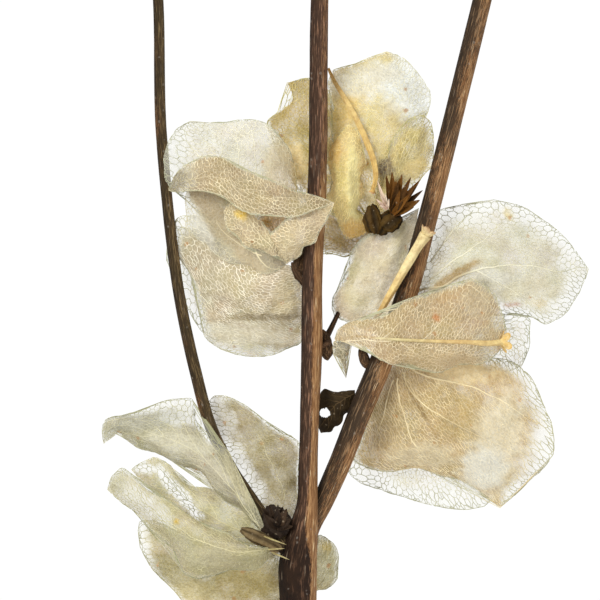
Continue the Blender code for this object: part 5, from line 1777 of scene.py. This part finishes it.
def bump_mesh(at, sizes, turn, number, finish):
    """A woody bump where a stalk or twig grew."""
    corners, faces, outward = lump(at, sizes, turn, 70 + number)
    mesh = one_shape(
        corners, faces,
        grain=np.stack([outward[:, 0], outward[:, 2], corners[:, 1] / 0.012], axis=1),
        bare=np.clip(0.2 + 0.5 * noise_at(corners, 3 * MM, number), 0, 1),
        tone=np.tile(paint(58, 43, 30), (len(corners), 1)))
    mesh.materials.append(finish)
    return mesh


def lofted(rings):
    """A closed skin over rings of points, with its two ends closed by fans: corners and faces."""
    rings = np.asarray(rings)
    rows, sides = rings.shape[:2]
    ends = [rings[0].mean(axis=0), rings[-1].mean(axis=0)]
    corners = np.concatenate([rings.reshape(-1, 3), ends])
    faces = []
    for row in range(rows - 1):
        for side in range(sides):
            beside = (side + 1) % sides
            faces.append((
                row * sides + side, row * sides + beside,
                (row + 1) * sides + beside, (row + 1) * sides + side))
    last = (rows - 1) * sides
    for side in range(sides):
        beside = (side + 1) % sides
        faces += [
            (rows * sides, beside, side), (rows * sides + 1, last + side, last + beside)]
    return corners, faces


def flower_mouth(base, forward, profile, lobe_depth):
    """An open lobed mouth: rings from the throat's outside over the rim and back inside."""
    forward = Vector(forward).normalized()
    side = forward.orthogonal().normalized()
    up = forward.cross(side)
    turns = np.linspace(0, 2 * math.pi, MOUTH_SIDES, endpoint=False)
    wave = np.abs(np.cos(FLOWER_LOBES * turns / 2)) ** 0.7
    rings = []
    for ahead, radius, lobed in profile:
        spread = radius * MM * (1 + lobed * 0.3 * (wave - 0.5))
        step = (ahead + lobed * lobe_depth * (wave - 0.6)) * MM
        rings.append(
            np.array(base)
            + np.array(forward) * step[:, None]
            + np.array(side) * (spread * np.cos(turns))[:, None]
            + np.array(up) * (spread * np.sin(turns))[:, None])
    return lofted(rings)


def laid_on(path, rails, rise):
    """A path of (x, y, radius) given heights that lay it on a bract's upper side."""
    grid = bract_grid(rails).reshape(-1, 3)
    laid = []
    for x_step, y_step, radius in path:
        point = place(x_step, y_step, 0)
        nearest = np.argmin(np.hypot(grid[:, 0] - point.x, grid[:, 1] - point.y))
        laid.append((point.x, point.y, grid[nearest, 2] + rise + radius * MM, radius * MM))
    path = np.array(laid)
    return smooth_line(path, round(walked(path[:, :3])[-1] / TUBE_STEP))


def toned_ends(count, colours):
    """A run of colours from one end of a path to the other."""
    colours = painted(colours)
    where = np.linspace(0, len(colours) - 1, count)
    return np.stack(
        [np.interp(where, np.arange(len(colours)), colours[:, part]) for part in range(3)], axis=1)


def tube_and_mouth(line, tones, mouth, mouth_tones, finishes, trees, sides=30, furrow=0.05,
                   ridge=0.08):
    """A ridged flower tube with an open mouth at its end, as meshes."""
    tube = grown(
        chain_mesh(line, tone=toned_ends(len(line), tones)), trees["stems"], tube_sides=sides,
        furrow_depth=furrow * MM, ridge_depth=ridge * MM, material=finishes.petal)
    profile, lobe_depth, back = mouth
    forward = line[-1, :3] - line[-back, :3]
    corners, faces = flower_mouth(line[-1, :3], forward, profile, lobe_depth)
    tone = np.repeat(toned_ends(len(profile), mouth_tones), MOUTH_SIDES, axis=0)
    tone = np.concatenate([tone, tone[:1], tone[-1:]])
    return [tube, one_shape(corners, faces, tone=tone)]


def blade_grid(base, tip, width, fold, lift):
    """A narrow sepal folded along its middle, as a grid."""
    direction = tip - base
    side = direction.cross(Vector((0, 0, 1))).normalized()
    up = side.cross(direction).normalized()
    grid = np.empty((BLADE_ROWS, BLADE_COLUMNS, 3))
    for row, along in enumerate(np.linspace(0, 1, BLADE_ROWS).tolist()):
        spine = base + direction * along + up * lift * math.sin(math.pi * along)
        half = width / 2 * (math.sin(math.pi * (0.12 + 0.88 * along) ** 0.8) ** 0.8 + 0.02)
        half = half if along < 1 else 0.0
        for column, across in enumerate(np.linspace(-1, 1, BLADE_COLUMNS).tolist()):
            rise = fold * abs(across) * half - 0.12 * half * math.sin(7 * along + 3 * across)
            grid[row, column] = spine + side * across * half + up * rise
    return grid


def add_blades(gathered, base, tips, width, colours):
    """A tuft of sepals from one base."""
    draw = random.Random(len(tips))
    colours = painted(colours)
    for number, tip in enumerate(tips):
        wide = width * draw.uniform(0.8, 1.25)
        start = place(*base) + Vector((0, 0, 0.3 * MM * (number % 3)))
        grid = blade_grid(start, place(*tip), wide, draw.uniform(0.4, 0.9), 0.1 * wide)
        corners, faces, source = grid_shell(grid, BLADE_THICKNESS)
        share = (source // grid.shape[1]) / grid.shape[0]
        tone = blend(colours[number % len(colours)], colours[-1], 0.5 * share[:, None])
        gathered.add(corners, faces, tone=tone)


def add_bud(gathered, at, sizes, turn, colours, seed):
    """A ridged dry bud."""
    turns = np.linspace(0, 2 * math.pi, BUD_SIDES, endpoint=False)
    rings, shares = [], []
    for along in np.linspace(0.01, 0.99, BUD_ROWS).tolist():
        swell = math.sin(math.pi * along**0.85) ** 0.45
        ridge = 1 + 0.12 * np.cos(5 * turns + 2.4 * along) + 0.09 * np.cos(11 * turns + 6 * along)
        rings.append(np.stack([
            np.full(BUD_SIDES, 2 * along - 1), swell * ridge * np.cos(turns),
            swell * ridge * np.sin(turns)], axis=1))
        shares.append(np.clip(0.5 + 0.5 * np.cos(5 * turns + 1.2 * along), 0, 1))
    corners, faces = lofted(rings)
    rough = 0.16 * noise_at(corners, 0.5, seed) + 0.1 * noise_at(corners, 0.2, seed + 1)
    corners = corners * (1 + rough)[:, None] * np.array(sizes) * MM / 2
    share = np.concatenate([np.ravel(shares), [0.5, 0.5]])[:, None]
    corners = corners @ turned(turn) + np.array(place(*at))
    gathered.add(corners, faces, tone=blend(*painted(colours), share))


def make_small_parts(finishes, trees):
    """The sepals, buds, pod and leaf."""
    brown = ((80, 49, 16), (100, 64, 20), (42, 28, 12), (116, 76, 26))
    pale = ((226, 204, 184), (206, 176, 160), (190, 160, 140), (236, 222, 204))
    black = ((36, 26, 19), (48, 36, 26), (28, 20, 15), (68, 52, 38))
    calyx, fork, pod = Gathered(), Gathered(), Gathered()
    add_blades(calyx, UPPER_SPIKES_BASE, UPPER_SPIKES, 1.7 * MM, brown)
    add_blades(calyx, PALE_STRANDS_BASE, PALE_STRANDS, 0.7 * MM, pale)
    for number, row in enumerate(UPPER_BUDS):
        add_bud(calyx, *row, ((44, 31, 6), (80, 58, 18)), 80 + number)
    add_blades(fork, LOWER_SPIKES_BASE, LOWER_SPIKES, 1.9 * MM, black)
    add_bud(fork, *LOWER_LUMP, black[:2], 90)
    for base, tip in LOWER_POINTS:
        add_blades(fork, base, (tip,), 0.42 * MM, ((178, 166, 118), (206, 196, 152)))
    add_bud(pod, *SEED_POD, ((80, 67, 44), (128, 110, 78)), 95)
    rows = (("upper_sepals", calyx, "upper_calyx"), ("lower_sepals", fork, "lower_calyx"),
            ("ridged_pod", pod, "seed_pod"))
    for name, gathered, node in rows:
        piece(name, [gathered.mesh()], node, finishes.dark)
    make_leaf(finishes, trees)


def from_hole(points):
    """How far points lie from the middle of the leaf's hole; 1 is the hole's edge."""
    hole = place(*LEAF_HOLE)
    across, along = LEAF_HOLE_SIZE
    return np.hypot((points[..., 0] - hole.x) / across, (points[..., 1] - hole.y) / along) / STEP


def make_leaf(finishes, trees):
    """The curled dark leaf with a hole."""
    leaf = Bract(bract_grid(tipped(*DRIED_LEAF)), 0.8, 97, look_of("dried_leaf"))
    middles = (leaf.grid[:-1, :-1] + leaf.grid[1:, 1:]) / 2
    kept = from_hole(middles) + 0.2 * noise_at(middles, 0.8 * MM, 98) > 1
    corners, faces, source = grid_shell(leaf.grid, LEAF_THICKNESS, kept)
    points = leaf.grid.reshape(-1, 3)[source]
    tone = clouded(leaf.look["ground"], points, 1.5 * MM, 99, 0.3)
    body = one_shape(corners, faces, tone=tone)
    ribs = Gathered()
    for line in rib_lines(leaf):
        middle = leaf.at(leaf.grid, line[:, 0], line[:, 1])
        gap = from_hole(middle)
        chain = [edge for edge in chained(len(middle)) if gap[list(edge)].min() > 1.1]
        tone = clouded(leaf.look["vein"], middle, 2 * MM, 96)
        ribs.add(middle, edges=chain, thickness=0.55 * line[:, 2] + 0.06 * MM, tone=tone)
    veins = grown(ribs.mesh(), trees["ribs"], material=finishes.leaf)
    piece("curled_leaf", [body, veins], "dried_leaf", finishes.leaf)


def make_flowers(finishes, trees):
    """The three flower tubes; the one on the front head's ridge belongs to that head."""
    cream, pale_gold = (244, 226, 172), (255, 232, 166)
    gold, pink = (236, 200, 122), (226, 176, 136)
    cup = (
        ((-0.4, 1.0, 0), (0.3, 1.3, 0.2), (1.0, 1.6, 0.7), (1.5, 1.75, 1.0), (1.45, 1.6, 1.0),
         (0.9, 1.4, 0.6), (0.2, 1.0, 0.1), (-0.2, 0.5, 0)), 0.5, 4)
    small_cup = (
        ((-0.2, 0.45, 0), (0.2, 0.6, 0.3), (0.6, 0.75, 1.0), (0.55, 0.6, 1.0), (0.1, 0.4, 0.2),
         (-0.1, 0.2, 0)), 0.2, 4)
    wide_cup = (
        ((-0.4, 0.6, 0), (0.3, 0.9, 0.5), (0.8, 1.7, 1.3), (1.0, 2.1, 1.8), (0.9, 1.9, 1.8),
         (0.3, 0.9, 0.8), (-0.3, 0.4, 0)), 0.5, 6)
    ridge = tube_and_mouth(
        laid_on(RIDGE_FLOWER, tipped(*FRONT_BRACTS["front"]), RIDGE_FLOWER_RISE),
        ((255, 246, 212), (234, 220, 166), (250, 220, 156), pale_gold), wide_cup,
        (pale_gold, (244, 206, 120), (250, 226, 164), pale_gold),
        finishes, trees, 24, 0.03, 0.04)
    # In the right and upper flowers the last mouth tone, deep inside the throat, is painted shade.
    right = tube_and_mouth(
        even_line(RIGHT_FLOWER[:-1], TUBE_STEP),
        ((222, 186, 122), (250, 222, 152), (255, 240, 186), cream), cup,
        (cream, cream, (244, 224, 178), pink, cream, cream, (190, 150, 100)),
        finishes, trees)
    rails = [[UPPER_HUB, *rail] for rail in tipped(*UPPER_BRACTS["top"])]
    upper = tube_and_mouth(
        laid_on(UPPER_FLOWER, rails, UPPER_FLOWER_RISE),
        ((214, 172, 104), (244, 218, 150), (242, 212, 138), gold), small_cup,
        (gold, gold, pink, gold, gold, (150, 100, 50)), finishes, trees)
    rows = (("ridge_flower", ridge, "front_head"), ("right_tube", right, "right_flower"),
            ("upper_tube", upper, "upper_flower"))
    for name, meshes, node in rows:
        piece(name, meshes, node, finishes.petal)


def make_camera():
    """The photograph's view, straight down on the table."""
    data = bpy.data.cameras.new("camera")
    data.sensor_width = SENSOR
    data.lens = SENSOR * CAMERA_HEIGHT / (SHEET_SIZE * STEP)
    data.clip_start = VIEW_NEAR
    data.clip_end = VIEW_FAR
    camera = new_object("camera", data)
    camera.location = (-FOOTPRINT_MIDDLE[0], -FOOTPRINT_MIDDLE[1], VIEW_PLANE + CAMERA_HEIGHT)
    bpy.context.scene.camera = camera


def make_light(name, where, size, power, blue):
    """A soft square lamp that looks at the bunch."""
    data = bpy.data.lights.new(name, "AREA")
    data.size = size
    data.energy = power
    data.color = (0.99, 1.0, blue)
    lamp = new_object(name, data)
    lamp.location = where
    lamp.rotation_euler = (-Vector(where)).to_track_quat("-Z", "Y").to_euler()


def make_studio(finishes):
    """A white table with even soft light."""
    data = bpy.data.meshes.new("table_top")
    half = FLOOR_SIZE / 2
    corners = [(-half, -half, 0), (half, -half, 0), (half, half, 0), (-half, half, 0)]
    data.from_pydata(corners, [], [(0, 1, 2, 3)])
    data.materials.append(finishes.floor)
    floor = new_object("table_top", data)
    floor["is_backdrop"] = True
    world = bpy.data.worlds.new("studio")
    world.use_nodes = True
    background = world.node_tree.nodes["Background"]
    background.inputs["Color"].default_value = (1, 1, 1, 1)
    background.inputs["Strength"].default_value = SKY_STRENGTH
    bpy.context.scene.world = world
    for lamp in LAMPS:
        make_light(*lamp)


def main():
    """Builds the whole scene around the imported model."""
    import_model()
    CAD_BOX.extend(np.array(side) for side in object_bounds())
    finishes = Finishes()
    trees = {"veins": make_vein_tree(), "ribs": make_rib_tree(), "stems": make_stem_tree()}
    make_stems(finishes, trees)
    heads = {
        "left_head": (LEFT_HUB, LEFT_BRACTS, LEFT_FLAPS),
        "upper_head": (UPPER_HUB, UPPER_BRACTS, {}),
        "right_head": (RIGHT_HUB, RIGHT_BRACTS, {}),
        "front_head": (FRONT_HUB, FRONT_BRACTS, {}),
        "lower_head": (LOWER_HUB, LOWER_BRACTS, {}),
    }
    for number, (head, (hub, bracts, flaps)) in enumerate(heads.items()):
        made = head_bracts(head, hub, bracts, flaps, HEAD_SEED + HEAD_SEED_STEP * number)
        make_head(head, made, finishes, trees)
    for number, (head, row) in enumerate(TIP_HEADS.items()):
        made = tip_bracts(head, *row, TIP_HEAD_SEED + HEAD_SEED_STEP * number)
        make_head(head, made, finishes, trees)
    make_flowers(finishes, trees)
    make_small_parts(finishes, trees)
    make_studio(finishes)
    make_camera()
    scene = bpy.context.scene
    scene.view_settings.view_transform = "Standard"
    scene.cycles.transparent_max_bounces = FILM_LAYERS


main()
